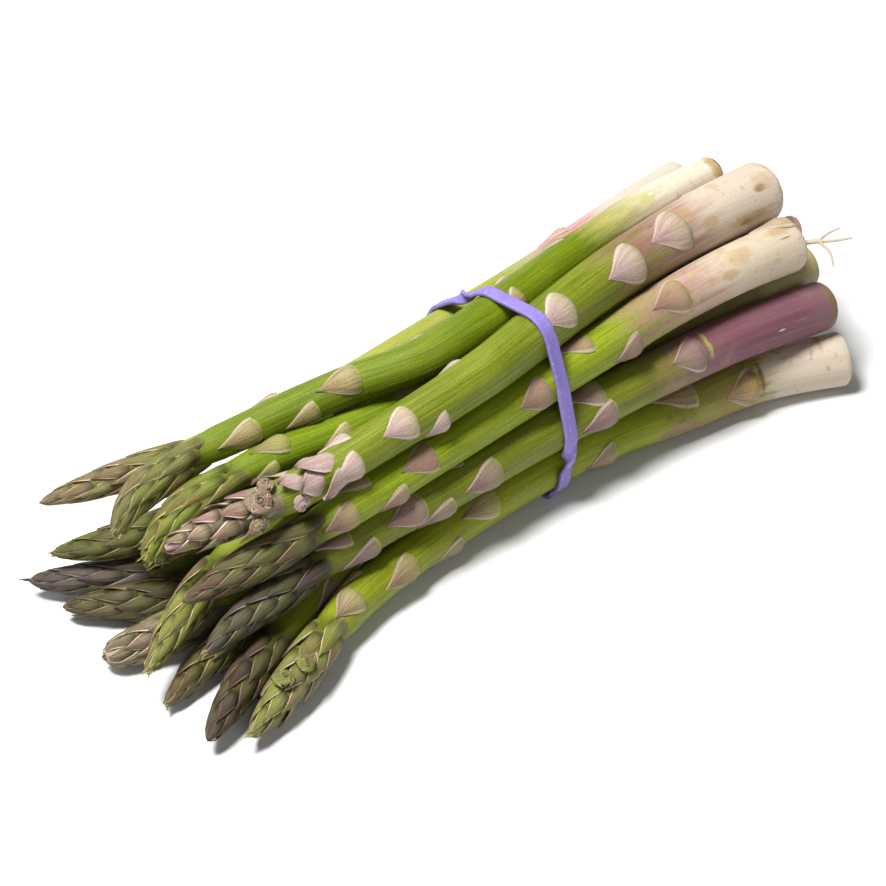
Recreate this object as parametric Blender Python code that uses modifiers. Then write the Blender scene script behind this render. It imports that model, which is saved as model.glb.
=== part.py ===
"""Bundle of fresh asparagus in a rubber band, lying on its side.

The bunch runs along X: tips at -X, cut ends at +X. The origin is the middle of the band's flat underside.
"""

import math

import bmesh
import bpy
import numpy as np

MM = 0.001

# Spears. path: middle line from butt to tip in mm. radii: at the butt, at the band, at the neck and of the
# head in mm. head: length of the head in mm. give: how readily the spear yields to its neighbours.
# turn: angle of the first scale. bracts: how far each stem bract's base lies from the tip in mm, its angle
# from the upper side in degrees, and its length in mm. flare: how far the head's scales stand out in mm.
# blunt: 0 for a pointed head, towards 1 for a rounded one.
SPEARS = {
    "spear_01": {
        "path": [(101, 24, 38), (69, 23, 38), (40, 20, 38), (0, 18, 38), (-45, 23, 34), (-87, 36, 31),
                 (-120, 52, 26)],
        "radii": (4.6, 4.6, 3.9, 4.3), "head": 42, "give": 0.5, "turn": 20, "flare": 0.0, "blunt": 0.0,
        "bracts": [(52, -60, 12), (68, 60, 12), (90, -30, 12), (118, 140, 12), (150, -50, 13), (180, 60, 12)],
    },
    "spear_02": {
        "path": [(98, 9, 47), (71, 9, 49), (28, 5, 50), (-6, 2, 50), (-26, 4, 48), (-47, 13, 45),
                 (-70, 20, 42), (-99, 25, 39), (-110, 25, 36), (-118, 23, 31)],
        "radii": (5.4, 6.2, 4.5, 4.9), "head": 34, "give": 0.1, "turn": 200, "flare": 0.0, "blunt": 0.25,
        "bracts": [(50, -64, 14), (60, 75, 12), (67, -98, 11), (81, -32, 14), (104, 100, 12), (132, -58, 8),
                   (160, 70, 12)],
    },
    "spear_03": {
        "path": [(100, -8, 47), (74, -7, 49), (48, -7, 50), (14, -9, 50.5), (-4, -11, 50), (-20, -12, 49),
                 (-48, -10, 46), (-83, -6, 42), (-117, 5, 37)],
        "radii": (9.2, 7.0, 5.2, 5.3), "head": 48, "give": 0.1, "turn": 75, "flare": 1.1, "blunt": 0.0,
        "bracts": [(56, -76, 10), (58, 55, 10), (75, -42, 12), (84, -116, 9), (98, 85, 12), (133, -36, 13),
                   (163, -45, 16), (183, -32, 16), (200, 100, 14)],
    },
    "spear_04": {
        "path": [(94, -24, 40), (74, -22, 42), (43, -19, 42), (13, -17.5, 40), (-16, -15, 36), (-44, -14, 34),
                 (-84, -10, 30), (-119, -4, 26)],
        "radii": (7.6, 6.0, 4.9, 5.2), "head": 44, "give": 0.15, "turn": 310, "flare": 0.0, "blunt": 0.0,
        "bracts": [(52, -70, 12), (60, 30, 12), (68, -114, 11), (79, -36, 12), (100, 120, 12), (119, -62, 12),
                   (137, 8, 11), (151, -104, 11), (171, -34, 14), (216, 40, 14)],
    },
    "spear_05": {
        "path": [(108, -15, 37), (50, -2, 37), (0, 0, 37), (-26, 5, 37), (-51, 9, 37), (-87, 15, 37),
                 (-102, 16, 34), (-110, 16, 30), (-116, 15, 26)],
        "radii": (4.0, 5.2, 4.4, 5.0), "head": 36, "give": 0.3, "turn": 130, "flare": 0.0, "blunt": 0.25,
        "bracts": [(46, -105, 10), (51, 0, 12), (60, 120, 12), (69, -70, 10), (95, -10, 12), (145, 90, 12)],
    },
    "spear_06": {
        "path": [(106, -23, 27), (80, -18, 26), (40, -12, 23), (0, -7, 21), (-45, -8, 16), (-75, -10, 8),
                 (-90, -14, 7), (-116, -23, 6.5), (-134, -30.5, 5.5)],
        "radii": (6.6, 5.8, 4.6, 5.0), "head": 42, "give": 0.4, "turn": 45, "flare": 0.0, "blunt": 0.1,
        "bracts": [(52, 30, 12), (64, -80, 12), (77, -128, 12), (100, 80, 12), (155, -30, 12),
                   (185, 110, 12)],
    },
    "spear_07": {
        "path": [(98.5, -34, 22), (67, -29, 25), (39, -24.5, 25), (6, -20, 24), (-32, -16, 22),
                 (-72, -12, 20), (-106, -12, 17.5), (-121, -14, 16)],
        "radii": (7.3, 6.4, 5.0, 5.2), "head": 44, "give": 0.15, "turn": 260, "flare": 0.0, "blunt": 0.0,
        "bracts": [(52, 0, 11), (59, -110, 14), (75, -54, 14), (84, -118, 14), (92, 40, 12), (100, -77, 14),
                   (139, -8, 12), (141, -96, 14), (173, -42, 12)],
    },
    "spear_08": {
        "path": [(98, -44, 8), (74, -32, 8), (47, -26, 8), (19, -20, 9), (-18, -17, 9), (-48, -16.5, 8.5),
                 (-76, -19, 7.5), (-106, -29, 6.5), (-126, -35, 5.5)],
        "radii": (8.0, 6.0, 5.2, 5.5), "head": 44, "give": 0.1, "turn": 160, "flare": 0.3, "blunt": 0.0,
        "bracts": [(54, -20, 12), (62, 70, 12), (75, -70, 14), (93, -128, 14), (107, -40, 14), (120, 80, 12),
                   (150, -110, 12), (180, -8, 15), (200, -68, 13)],
    },
    "spear_09": {
        "path": [(92, 38, 16), (45, 30, 20), (0, 26, 22), (-45, 30, 22), (-85, 27, 19), (-103, 32, 17),
                 (-123, 45, 14.5)],
        "radii": (6.0, 5.6, 4.6, 4.8), "head": 40, "give": 1, "turn": 80, "flare": 0.0, "blunt": 0.05,
    },
    "spear_10": {
        "path": [(88, 34, 7), (45, 26, 8), (0, 20, 9.5), (-45, 24, 9), (-85, 22, 7.5), (-106, 30, 6.5),
                 (-128, 49, 5.5)],
        "radii": (6.4, 5.8, 4.5, 4.7), "head": 40, "give": 1, "turn": 220, "flare": 0.0, "blunt": 0.2,
    },
    "spear_11": {
        "path": [(94, 14, 7.5), (45, 9, 8), (0, 7, 8), (-45, 10, 8), (-80, 10, 8), (-102, 14, 7),
                 (-114, 22, 6), (-128, 34, 5.5)],
        "radii": (7.0, 6.0, 4.8, 5.1), "head": 42, "give": 1, "turn": 350, "flare": 0.0, "blunt": 0.25,
    },
    "spear_12": {
        "path": [(88, 20, 20), (45, 13, 20), (0, 6, 21), (-45, 4, 16), (-85, 2, 10), (-108, 3, 8),
                 (-122, 7, 6.5), (-133, 10.5, 6)],
        "radii": (6.0, 5.4, 4.9, 5.5), "head": 34, "give": 1, "turn": 110, "flare": 0.0, "blunt": 0.5,
    },
    "spear_13": {
        "path": [(84, 2, 30), (45, 6, 26), (0, 16, 26), (-45, 10, 22), (-85, 5, 16), (-102, 3, 14),
                 (-118, -1, 11), (-132, -6, 8)],
        "radii": (6.0, 5.0, 4.3, 4.7), "head": 40, "give": 0.7, "turn": 290, "flare": 0.0, "blunt": 0.2,
    },
    "spear_14": {
        "path": [(96, -12, 7.5), (45, -9, 8), (0, -6, 8), (-45, -2, 8), (-75, 0, 8), (-100, -3, 7.5),
                 (-116, -5, 6.5), (-132, -9, 5.5)],
        "radii": (6.4, 5.4, 4.4, 4.7), "head": 40, "give": 0.7, "turn": 30, "flare": 0.0, "blunt": 0.1,
    },
    "spear_15": {
        "path": [(90, 12, 33), (45, 12, 34), (0, 12, 34), (-45, 14, 28), (-80, 12, 25), (-91, 12, 23),
                 (-108, 17, 16)],
        "radii": (5.4, 4.8, 4.0, 4.4), "head": 34, "give": 1, "turn": 180, "flare": 0.0, "blunt": 0.1,
    },
}

# How the bunch packs, in mm
STATIONS = 81
ROUNDS = 180
GAP = 0.7
BAND_LIFT = 1.7
BAND_LIFT_REACH = 22.0
RELAXATION = 0.6
SMOOTHINGS = 2

# Head outline: share of the head's length from the tip, and share of the head's radius there
HEAD_STEPS = (0.0, 0.05, 0.15, 0.3, 0.5, 0.75)
HEAD_SHARES = (0.12, 0.28, 0.52, 0.78, 0.97, 1.0)
HEAD_CORE = 0.84
NECK_BLEND = 4.0

# Scales of the head, in mm and degrees. Widths, keels and bulges are shares.
TURN = 137.5
HEAD_SCALES = 15
TOP_SCALE = 6.0
SCALE_LENGTHS = (6.5, 13.0)
SCALE_WIDTH = 0.74
SCALE_TOP_WIDTH = 0.55
SCALE_BASE = 0.86
SCALE_TAPER = (1.7, 0.85)
SCALE_SUNK = 0.8
SCALE_RAMP = 0.5
SCALE_KEEL = 0.2
FLARE_POWER = 1.5
SPREAD = 1.15

# Bracts of the stem. profile: places from base to point, and how far each stands out there.
BRACT_WIDTH = 0.8
BRACT_TAPER = 1.4
BRACT_BULGE = 1.2
BRACT_RISE = 0.9
BRACT_PROFILE = ((0.0, 0.15, 0.45, 1.0), (0.2, 0.7, 1.0, 0.6))
BRACT_KEEL = 0.5
BRACT_FIRST = 10.0
BRACT_STEP = 15.0
BRACT_GROWTH = 1.12
BRACT_LENGTH = 12.0
BRACT_LAST = 160.0
LEAF_COLUMNS = 2
LEAF_ROWS = 2
WIDEST_PLACE = 1 / 3
ROOT_DEPTH = 0.4
ROOT_PLACE = 0.35
PRESSES = 3
FLAT_Z = 0.02
FAR = 99.0

# Tube of a stem
TOP_STEP = 1.2
STEM_STEP = 18.0
HEAD_STEP = 9.0
BUTT_ROUND = 0.9
SIDES_RESOLUTION = 2

# Rubber band, in mm
BAND_WIDTH = 4.0
BAND_THICKNESS = 1.1
BAND_CLEARANCE = 0.4
BAND_MARGIN = 1.2
BAND_STATIONS = 80
ROUTE_STEPS = 720
TWIST_LENGTH = 11.0
UNDERSIDE_WAYS = (0.8, 0.97)
TWISTS = ((12.0, 49.0), (-25.5, 16.5))

# Rootlets of spear_04: points from inside its butt outwards, and radii, in mm
ROOTLETS = (
    ([(91, -26, 41), (97, -28, 41.5), (102, -33, 42), (107, -36, 42)], (0.9, 0.5)),
    ([(99, -30, 41.7), (103, -30.5, 43), (106, -32, 44)], (0.6, 0.4)),
    ([(99, -30, 41.7), (99.5, -34, 40), (98, -37, 37)], (0.6, 0.4)),
)
ROOTLET_RESOLUTION = 1

# Side buds: how far from the tip, angle, length and radius. Each is a tube through three points, with the
# share of its length from its base, its height above the spear's middle and its thickness at each.
SIDE_BUDS = {
    "spear_03": [(22, -50, 6, 1.7), (30, -5, 7, 2.0), (33, -62, 7, 2.4), (40, -95, 7, 1.8), (44, 40, 7, 1.8)],
    "spear_08": [(20, -15, 5, 1.6), (28, 20, 5, 1.6), (36, -30, 5, 1.4)],
}
BUD_PLACES = (0.0, 0.35, 0.8)
BUD_HEIGHTS = ((0.4, 0.0), (1.0, 0.3), (1.0, 0.9))
BUD_RADII = (0.8, 1.0, 0.35)

ROUGHNESS = {"spear": 0.5, "band": 0.6}
SHARP_ANGLE = 40.0
COLOURS = {
    "spear_01": (0.36, 0.42, 0.13, 1), "spear_02": (0.30, 0.40, 0.09, 1), "spear_03": (0.38, 0.36, 0.20, 1),
    "spear_04": (0.34, 0.42, 0.12, 1), "spear_05": (0.24, 0.34, 0.06, 1), "spear_06": (0.17, 0.14, 0.09, 1),
    "spear_07": (0.27, 0.22, 0.16, 1), "spear_08": (0.28, 0.34, 0.07, 1),
}
STALK_GREEN = (0.22, 0.28, 0.07, 1)
BAND_BLUE = (0.26, 0.19, 0.60, 1)


def clear_scene():
    for old in list(bpy.data.objects):
        bpy.data.objects.remove(old)


def material(name, colour, roughness):
    made = bpy.data.materials.new(name)
    made.use_nodes = True
    shader = made.node_tree.nodes["Principled BSDF"]
    shader.inputs["Base Color"].default_value = colour
    shader.inputs["Roughness"].default_value = roughness
    shader.inputs["Metallic"].default_value = 0.0
    return made


# Middle lines of the spears

def lengths_along(points):
    steps = np.linalg.norm(np.diff(points, axis=0), axis=1)
    return np.concatenate([[0.0], np.cumsum(steps)])


def even(points, count):
    """The same line with evenly spaced points."""
    along = lengths_along(points)
    wanted = np.linspace(0, along[-1], count)
    return np.stack([np.interp(wanted, along, points[:, axis]) for axis in range(3)], axis=1)


def smooth_line(path, count):
    """A smooth curve through the path's points, at even steps."""
    p = np.asarray(path, float)
    along = lengths_along(p)
    step = np.diff(along)
    slope = np.diff(p, axis=0) / step[:, None]
    m = np.empty_like(p)
    m[1:-1] = (slope[:-1] * step[1:, None] + slope[1:] * step[:-1, None]) / (step[:-1] + step[1:])[:, None]
    m[0] = 1.5 * slope[0] - 0.5 * m[1]
    m[-1] = 1.5 * slope[-1] - 0.5 * m[-2]
    place = np.linspace(0, along[-1], count * 4)
    k = np.clip(np.searchsorted(along, place, side="right") - 1, 0, len(step) - 1)
    x = ((place - along[k]) / step[k])[:, None]
    span = step[k][:, None]
    points = (2 * x**3 - 3 * x**2 + 1) * p[k] + (x**3 - 2 * x**2 + x) * span * m[k]
    points += (3 * x**2 - 2 * x**3) * p[k + 1] + (x**3 - x**2) * span * m[k + 1]
    return even(points, count)


def outline_radius(points, spear):
    """Outer radius of the spear at each point, with the scales of its head."""
    butt, waist, neck, head = spear["radii"]
    along = lengths_along(points)
    left = along[-1] - along
    band = along[np.argmin(np.abs(points[:, 0]))]
    stem = np.interp(along, [0, band, along[-1] - spear["head"]], [butt, waist, neck])
    shares = tuple(share ** (1 - spear["blunt"]) for share in HEAD_SHARES) + (neck / head,)
    tip = head * np.interp(left / spear["head"], HEAD_STEPS + (1.0,), shares)
    return np.where(left < spear["head"], tip, stem)


def floor_height(points, radius):
    """Lowest height of the middle line: on the surface, and lifted over the band's underside."""
    near = np.clip(np.abs(points[..., 0]) / BAND_LIFT_REACH, 0, 1)
    return radius + FLAT_Z + BAND_LIFT * np.cos(near * math.pi / 2) ** 2


def push_apart(first, second, need_apart):
    """How far each point of the first line and of the second must move to leave the gap."""
    between = first[:, None] - second[None]
    distance = np.linalg.norm(between, axis=2)
    short = need_apart - distance
    moves = np.zeros_like(first), np.zeros_like(second)
    if (short <= 0).all():
        return moves
    direction = between / distance[..., None]
    deepest = short.argmax(axis=1)
    rows = np.arange(len(first))
    moves[0][:] = direction[rows, deepest] * np.clip(short[rows, deepest], 0, None)[:, None]
    deepest = short.argmax(axis=0)
    rows = np.arange(len(second))
    moves[1][:] = -direction[deepest, rows] * np.clip(short[deepest, rows], 0, None)[:, None]
    return moves


def settle(spears):
    """Moves the middle lines apart until the spears lie against each other and on the surface."""
    names = list(spears)
    start = np.stack([smooth_line(spears[name]["path"], STATIONS) for name in names])
    radius = np.stack([outline_radius(start[i], spears[name]) for i, name in enumerate(names)])
    give = np.array([spears[name]["give"] for name in names])
    moved = np.zeros_like(start)
    for _ in range(ROUNDS):
        now = start + moved
        push = np.zeros_like(now)
        for i in range(len(names)):
            for j in range(i + 1, len(names)):
                apart = radius[i][:, None] + radius[j][None] + GAP
                first, second = push_apart(now[i], now[j], apart)
                push[i] += first * give[i] / (give[i] + give[j])
                push[j] += second * give[j] / (give[i] + give[j])
        push[..., 2] += np.clip(floor_height(now, radius) - now[..., 2], 0, None)
        moved += RELAXATION * push
        for _ in range(SMOOTHINGS):
            moved[:, 1:-1] = (moved[:, :-2] + 2 * moved[:, 1:-1] + moved[:, 2:]) / 4
            moved[:, 0] = (moved[:, 0] + moved[:, 1]) / 2
            moved[:, -1] = (moved[:, -1] + moved[:, -2]) / 2
    placed = start + moved
    placed[..., 2] = np.maximum(placed[..., 2], floor_height(placed, radius))
    return {name: line_frame(placed[i], spears[name]) for i, name in enumerate(names)}


def line_frame(points, spear):
    """A spear's middle line with its reach from the tip, its radius and the two directions across it."""
    ahead = np.gradient(points, axis=0)
    ahead /= np.linalg.norm(ahead, axis=1)[:, None]
    upper = np.array([0.0, 0.0, 1.0]) - ahead * ahead[:, 2:]
    upper /= np.linalg.norm(upper, axis=1)[:, None]
    along = lengths_along(points)
    order = slice(None, None, -1)
    return {
        "points": points[order],
        "upper": upper[order],
        "side": np.cross(ahead, upper)[order],
        "reach": (along[-1] - along)[order],
        "radius": outline_radius(points, spear)[order],
        "head": spear["head"],
    }


def read(line, key, reach):
    """A value of the line at the given reach from the tip."""
    values = line[key]
    if values.ndim == 1:
        return np.interp(reach, line["reach"], values)
    return np.stack([np.interp(reach, line["reach"], values[:, axis]) for axis in range(3)], axis=-1)


def spot(line, reach, angle, radius):
    """The point at a reach from the tip, an angle from the upper side and a radius."""
    reach, angle, radius = np.broadcast_arrays(reach, angle, radius)
    out = np.cos(angle)[..., None] * read(line, "upper", reach)
    out = out + np.sin(angle)[..., None] * read(line, "side", reach)
    return read(line, "points", reach) + out * radius[..., None]


def core_radius(line, reach):
    """Radius of the plain stalk under the scales."""
    share = np.interp(reach, [line["head"] - NECK_BLEND, line["head"] + NECK_BLEND], [HEAD_CORE, 1.0])
    return share * read(line, "radius", reach)


def clearance(line, points):
    """Distance of each point from the line's own outline."""
    start = line["points"][:-1]
    step = np.diff(line["points"], axis=0)
    share = ((points[:, None] - start[None]) * step).sum(2) / (step**2).sum(1)
    share = np.clip(share, 0, 1)
    near = start[None] + share[..., None] * step
    distance = np.linalg.norm(points[:, None] - near, axis=2)
    radius = line["radius"][:-1] + share * np.diff(line["radius"])
    return (distance - radius).min(axis=1)


def pressed(lines, name, points, middle):
    """Points kept on their own side of every neighbour, above the surface and inside the band."""
    points = points.copy()
    for _ in range(PRESSES):
        own = clearance(lines[name], points)
        other = np.full(len(points), FAR)
        for neighbour in lines:
            if neighbour != name:
                other = np.minimum(other, clearance(lines[neighbour], points))
        under_band = np.where(np.abs(points[:, 0]) < BAND_WIDTH / 2 + BAND_MARGIN, 0.0, FAR)
        allowed = np.minimum((own + other - GAP) / 2, under_band)
        inward = middle - points
        inward /= np.linalg.norm(inward, axis=1)[:, None]
        points += inward * np.clip(own - allowed, 0, None)[:, None]
    points[:, 2] = np.maximum(points[:, 2], FLAT_Z)
    return points


# Scales and bracts

def scale_width(along):
    """Half width of a head's scale from its base to its point, as a share of its widest."""
    bulge = SCALE_BASE + (1 - SCALE_BASE) * np.sin(math.pi * along)
    return bulge * (1 - along ** SCALE_TAPER[0]) ** SCALE_TAPER[1]


def bract_width(along):
    """Half width of a bract: broad at its base and drawn in to a long point."""
    return (1 - along) ** BRACT_TAPER * (1 + BRACT_BULGE * along)


def scale_skin(line, reach, across, along, flare):
    """Outer radius of a head's scale: low at its base, at the head's outline from its middle to its point."""
    outline = read(line, "radius", reach)
    sunk = SCALE_SUNK * core_radius(line, reach)
    ramp = np.clip(along / SCALE_RAMP, 0, 1)
    keel = 1 - SCALE_KEEL * across**2 * scale_width(along)
    return sunk + (outline - sunk) * ramp * keel + flare * along**FLARE_POWER


def bract_skin(line, reach, across, along, _flare):
    """Outer radius of a bract on the stem, bulging over the bud behind it."""
    keel = 1 - BRACT_KEEL * across**2 * bract_width(along)
    return read(line, "radius", reach) + BRACT_RISE * np.interp(along, *BRACT_PROFILE) * keel


def leaf_block(columns, rows):
    """A closed block: x across from -1 to 1, y from base 0 to point 1, z from root 0 to skin 1."""
    bm = bmesh.new()
    bmesh.ops.create_grid(bm, x_segments=columns, y_segments=rows, size=1)
    raised = bmesh.ops.extrude_face_region(bm, geom=bm.faces[:], use_keep_orig=True)
    for item in raised["geom"]:
        if isinstance(item, bmesh.types.BMVert):
            item.co.z = 1
    for vert in bm.verts:
        vert.co.y = (vert.co.y + 1) / 2
    return bm


def leaf(lines, name, kind, row):
    """One scale or bract as a closed solid that narrows to a root inside the stalk."""
    line = lines[name]
    base, angle, length, half_width, flare = row
    width_of, skin_of = (scale_width, scale_skin) if kind == "scale" else (bract_width, bract_skin)
    bm = leaf_block(LEAF_COLUMNS, LEAF_ROWS)
    places = np.array([vert.co for vert in bm.verts])
    across, along, height = places.T
    skin = height > 0.5
    reach = np.maximum(base - length * along, 0.0)
    spread = half_width / read(line, "radius", base - WIDEST_PLACE * length)
    turn = math.radians(angle) + across * width_of(along) * spread
    points = spot(line, reach, turn, skin_of(line, reach, across, along, flare))
    points[skin] = pressed(lines, name, points[skin], read(line, "points", reach[skin]))
    middle = base - ROOT_PLACE * length
    points[~skin] = spot(line, middle, math.radians(angle), ROOT_DEPTH * core_radius(line, middle))
    for vert, point in zip(bm.verts, points):
        vert.co = point * MM
    bmesh.ops.remove_doubles(bm, verts=bm.verts[:], dist=0.00002)
    bmesh.ops.recalc_face_normals(bm, faces=bm.faces[:])
    return object_of(bm, f"{name}_{kind}")


def object_of(bm, name):
    mesh = bpy.data.meshes.new(name)
    bm.to_mesh(mesh)
    bm.free()
    return bpy.data.objects.new(name, mesh)


def scale_rows(spear):
    """The head's scales, from its tip to its neck, each a golden turn on from the last."""
    rows = []
    for k in range(HEAD_SCALES):
        share = k / (HEAD_SCALES - 1)
        base = TOP_SCALE + (spear["head"] - TOP_SCALE) * share**SPREAD
        length = SCALE_LENGTHS[0] + (SCALE_LENGTHS[1] - SCALE_LENGTHS[0]) * share
        width = SCALE_WIDTH * spear["radii"][3] * min(1.0, SCALE_TOP_WIDTH + share)
        rows.append((base, spear["turn"] + k * TURN, length, width, spear["flare"]))
    return rows


def hidden_bracts(spear, line):
    """On a hidden stem, one bract after another towards its butt, none of them under the band."""
    bracts = []
    base = spear["head"] + BRACT_FIRST
    step = BRACT_STEP
    angle = spear["turn"] + HEAD_SCALES * TURN
    while base < BRACT_LAST:
        ends = read(line, "points", np.array([base, base - BRACT_LENGTH]))[:, 0]
        if ends[0] < -BAND_WIDTH or ends[1] > BAND_WIDTH:
            bracts.append((base, angle, BRACT_LENGTH))
        base += step
        step *= BRACT_GROWTH
        angle += TURN
    return bracts


def bract_rows(spear, line):
    """The stem's bracts, with their half width and no flare."""
    bracts = spear.get("bracts") or hidden_bracts(spear, line)
    rows = []
    for base, angle, length in bracts:
        rows.append((base, angle, length, BRACT_WIDTH * read(line, "radius", base), 0.0))
    return rows


# Solids

def tube(name, points, radii, resolution=SIDES_RESOLUTION):
    """A closed round tube through the points, in mm, as a mesh."""
    curve = bpy.data.curves.new(name, "CURVE")
    curve.dimensions = "3D"
    curve.bevel_depth = MM
    curve.bevel_resolution = resolution
    curve.use_fill_caps = True
    spline = curve.splines.new("POLY")
    spline.points.add(len(points) - 1)
    for spline_point, point, radius in zip(spline.points, points, radii):
        spline_point.co = (*(np.asarray(point) * MM), 1)
        spline_point.radius = radius
    drawn = bpy.data.objects.new(name, curve)
    bpy.context.scene.collection.objects.link(drawn)
    bpy.context.view_layer.update()
    graph = bpy.context.evaluated_depsgraph_get()
    mesh = bpy.data.meshes.new_from_object(drawn.evaluated_get(graph))
    place = drawn.matrix_world.copy()
    bpy.data.objects.remove(drawn)
    solid = bpy.data.objects.new(name, mesh)
    solid.matrix_world = place
    bm = bmesh.new()
    bm.from_mesh(mesh)
    bmesh.ops.remove_doubles(bm, verts=bm.verts[:], dist=0.00001)
    bmesh.ops.recalc_face_normals(bm, faces=bm.faces[:])
    bm.to_mesh(mesh)
    bm.free()
    return solid


def stalk(name, line):
    """The plain stalk from its cut end to under the topmost scales."""
    length = line["reach"][-1]
    head = line["head"]
    upper = np.arange(TOP_STEP, head, HEAD_STEP)
    lower = np.linspace(head, length - BUTT_ROUND, round((length - head) / STEM_STEP))
    reach = np.concatenate([upper, lower, [length]])
    radii = core_radius(line, reach)
    radii[-1] -= BUTT_ROUND
    return tube(name, read(line, "points", reach), radii)


def side_bud(line, row):
    """A short pointed bud that grows out of the head beside its scale."""
    reach, angle, length, radius = row
    turn = math.radians(angle)
    own = read(line, "radius", reach)
    points = []
    for share, (of_own, of_bud) in zip(BUD_PLACES, BUD_HEIGHTS):
        points.append(spot(line, reach - share * length, turn, of_own * own + of_bud * radius))
    return tube("bud", points, [share * radius for share in BUD_RADII])


def fuse(body, pieces):
    """Joins the pieces to the body with one union."""
    held = bpy.data.collections.new("pieces")
    bpy.context.scene.collection.children.link(held)
    for piece in pieces:
        held.objects.link(piece)
    union = body.modifiers.new("union", "BOOLEAN")
    union.operation = "UNION"
    union.operand_type = "COLLECTION"
    union.collection = held
    bpy.context.view_layer.update()
    graph = bpy.context.evaluated_depsgraph_get()
    joined = bpy.data.meshes.new_from_object(body.evaluated_get(graph))
    body.modifiers.clear()
    body.data = joined
    for piece in pieces:
        bpy.data.objects.remove(piece)
    bpy.data.collections.remove(held)


def make_spear(name, lines, bunch):
    line = lines[name]
    body = stalk(name, line)
    bunch.objects.link(body)
    pieces = [leaf(lines, name, "scale", row) for row in scale_rows(SPEARS[name])]
    pieces += [leaf(lines, name, "bract", row) for row in bract_rows(SPEARS[name], line)]
    pieces += [side_bud(line, row) for row in SIDE_BUDS.get(name, ())]
    if name == "spear_04":
        for points, ends in ROOTLETS:
            pieces.append(tube("rootlet", points, np.linspace(*ends, len(points)), ROOTLET_RESOLUTION))
    fuse(body, pieces)
    body.data.materials.clear()
    body.data.materials.append(material(name, COLOURS.get(name, STALK_GREEN), ROUGHNESS["spear"]))
    body.data.shade_smooth()
    body.data.set_sharp_from_angle(angle=math.radians(SHARP_ANGLE))
    return body


# Rubber band

def hull_height(lines, x, direction):
    """How far the bunch reaches in a direction across it, at one place along it, and the point there."""
    best = -math.inf
    point = None
    for line in lines.values():
        along = line["points"][:, 0]
        middle = np.array([np.interp(x, along, line["points"][:, axis]) for axis in (1, 2)])
        radius = np.interp(x, along, line["radius"])
        height = middle @ direction + radius
        if height > best:
            best = height
            point = middle + radius * direction
    return best, point


def underside_share(way):
    """0 where the band leaves the surface at its sides, 1 where it lies flat on it."""
    share = np.clip(np.interp(-way[1], UNDERSIDE_WAYS, (0.0, 1.0)), 0, 1)
    return share * share * (3 - 2 * share)


def band_route(lines):
    """Even stations around the bunch: the place, the way out of it, and the lift at each edge of the band."""
    outset = BAND_CLEARANCE + BAND_THICKNESS / 2
    ways = []
    places = []
    for angle in np.linspace(0, 2 * math.pi, ROUTE_STEPS, endpoint=False):
        way = np.array([math.cos(angle), math.sin(angle)])
        point = hull_height(lines, 0.0, way)[1] + outset * way
        flat = underside_share(way)
        point[1] = (1 - flat) * point[1] + flat * BAND_THICKNESS / 2
        ways.append(way)
        places.append(point)
    loop = np.array(places + places[:1])
    ways = np.array(ways + ways[:1])
    along = np.concatenate([[0.0], np.cumsum(np.linalg.norm(np.diff(loop, axis=0), axis=1))])
    wanted = np.linspace(0, along[-1], BAND_STATIONS, endpoint=False)
    place = np.stack([np.interp(wanted, along, loop[:, axis]) for axis in range(2)], axis=1)
    way = np.stack([np.interp(wanted, along, ways[:, axis]) for axis in range(2)], axis=1)
    way /= np.linalg.norm(way, axis=1)[:, None]
    return place, way, wanted, along[-1]


def twist_at(along, total, place):
    """Turn of the band's section: half a turn at each twist."""
    turn = np.zeros(len(along))
    for target in TWISTS:
        centre = along[np.argmin(np.linalg.norm(place - np.array(target), axis=1))]
        offset = (along - centre + total / 2) % total - total / 2
        passed = np.where((along > centre) & (offset > 0), 1.0, 0.0)
        ramp = np.clip(offset / TWIST_LENGTH + 0.5, 0, 1)
        inside = np.abs(offset) < TWIST_LENGTH / 2
        smooth = ramp * ramp * (3 - 2 * ramp)
        turn += math.pi * np.where(inside, smooth, np.where(along > centre, 1.0, passed))
    return turn


def make_band(lines, bunch):
    place, way, along, total = band_route(lines)
    turn = twist_at(along, total, place)
    bm = bmesh.new()
    bmesh.ops.create_circle(bm, segments=BAND_STATIONS, radius=1, cap_ends=False)
    bm.verts.ensure_lookup_table()
    raised = bmesh.ops.extrude_edge_only(bm, edges=bm.edges[:])
    far_edge = [item for item in raised["geom"] if isinstance(item, bmesh.types.BMVert)]
    near_edge = [vert for vert in bm.verts if vert not in set(far_edge)]
    for edge, sign in ((near_edge, -1), (far_edge, 1)):
        for vert in edge:
            k = round(math.atan2(vert.co.y, vert.co.x) / (2 * math.pi) * BAND_STATIONS) % BAND_STATIONS
            flat = math.cos(turn[k])
            side = sign * BAND_WIDTH / 2
            out = hull_height(lines, side * flat, way[k])[0] - hull_height(lines, 0.0, way[k])[0]
            out = out * abs(flat) + side * math.sin(turn[k])
            out *= 1 - underside_share(way[k])
            across = place[k] + way[k] * out
            vert.co = (side * flat * MM, across[0] * MM, max(across[1], BAND_THICKNESS / 2) * MM)
    bmesh.ops.recalc_face_normals(bm, faces=bm.faces[:])
    band = object_of(bm, "rubber_band")
    bunch.objects.link(band)
    shell = band.modifiers.new("thickness", "SOLIDIFY")
    shell.thickness = BAND_THICKNESS * MM
    shell.offset = 0
    shell.use_even_offset = False
    band.data.materials.append(material("rubber_band", BAND_BLUE, ROUGHNESS["band"]))
    return band


def main():
    clear_scene()
    bunch = bpy.data.collections.new("asparagus_bundle")
    bpy.context.scene.collection.children.link(bunch)
    lines = settle(SPEARS)
    for name in SPEARS:
        make_spear(name, lines, bunch)
    make_band(lines, bunch)


main()
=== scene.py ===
# Bundle of fresh asparagus in a rubber band: its looks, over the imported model.
# The bunch runs along X, tips at -X and cut ends at +X. Lengths are in mm until a point goes into a mesh.
import math

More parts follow.
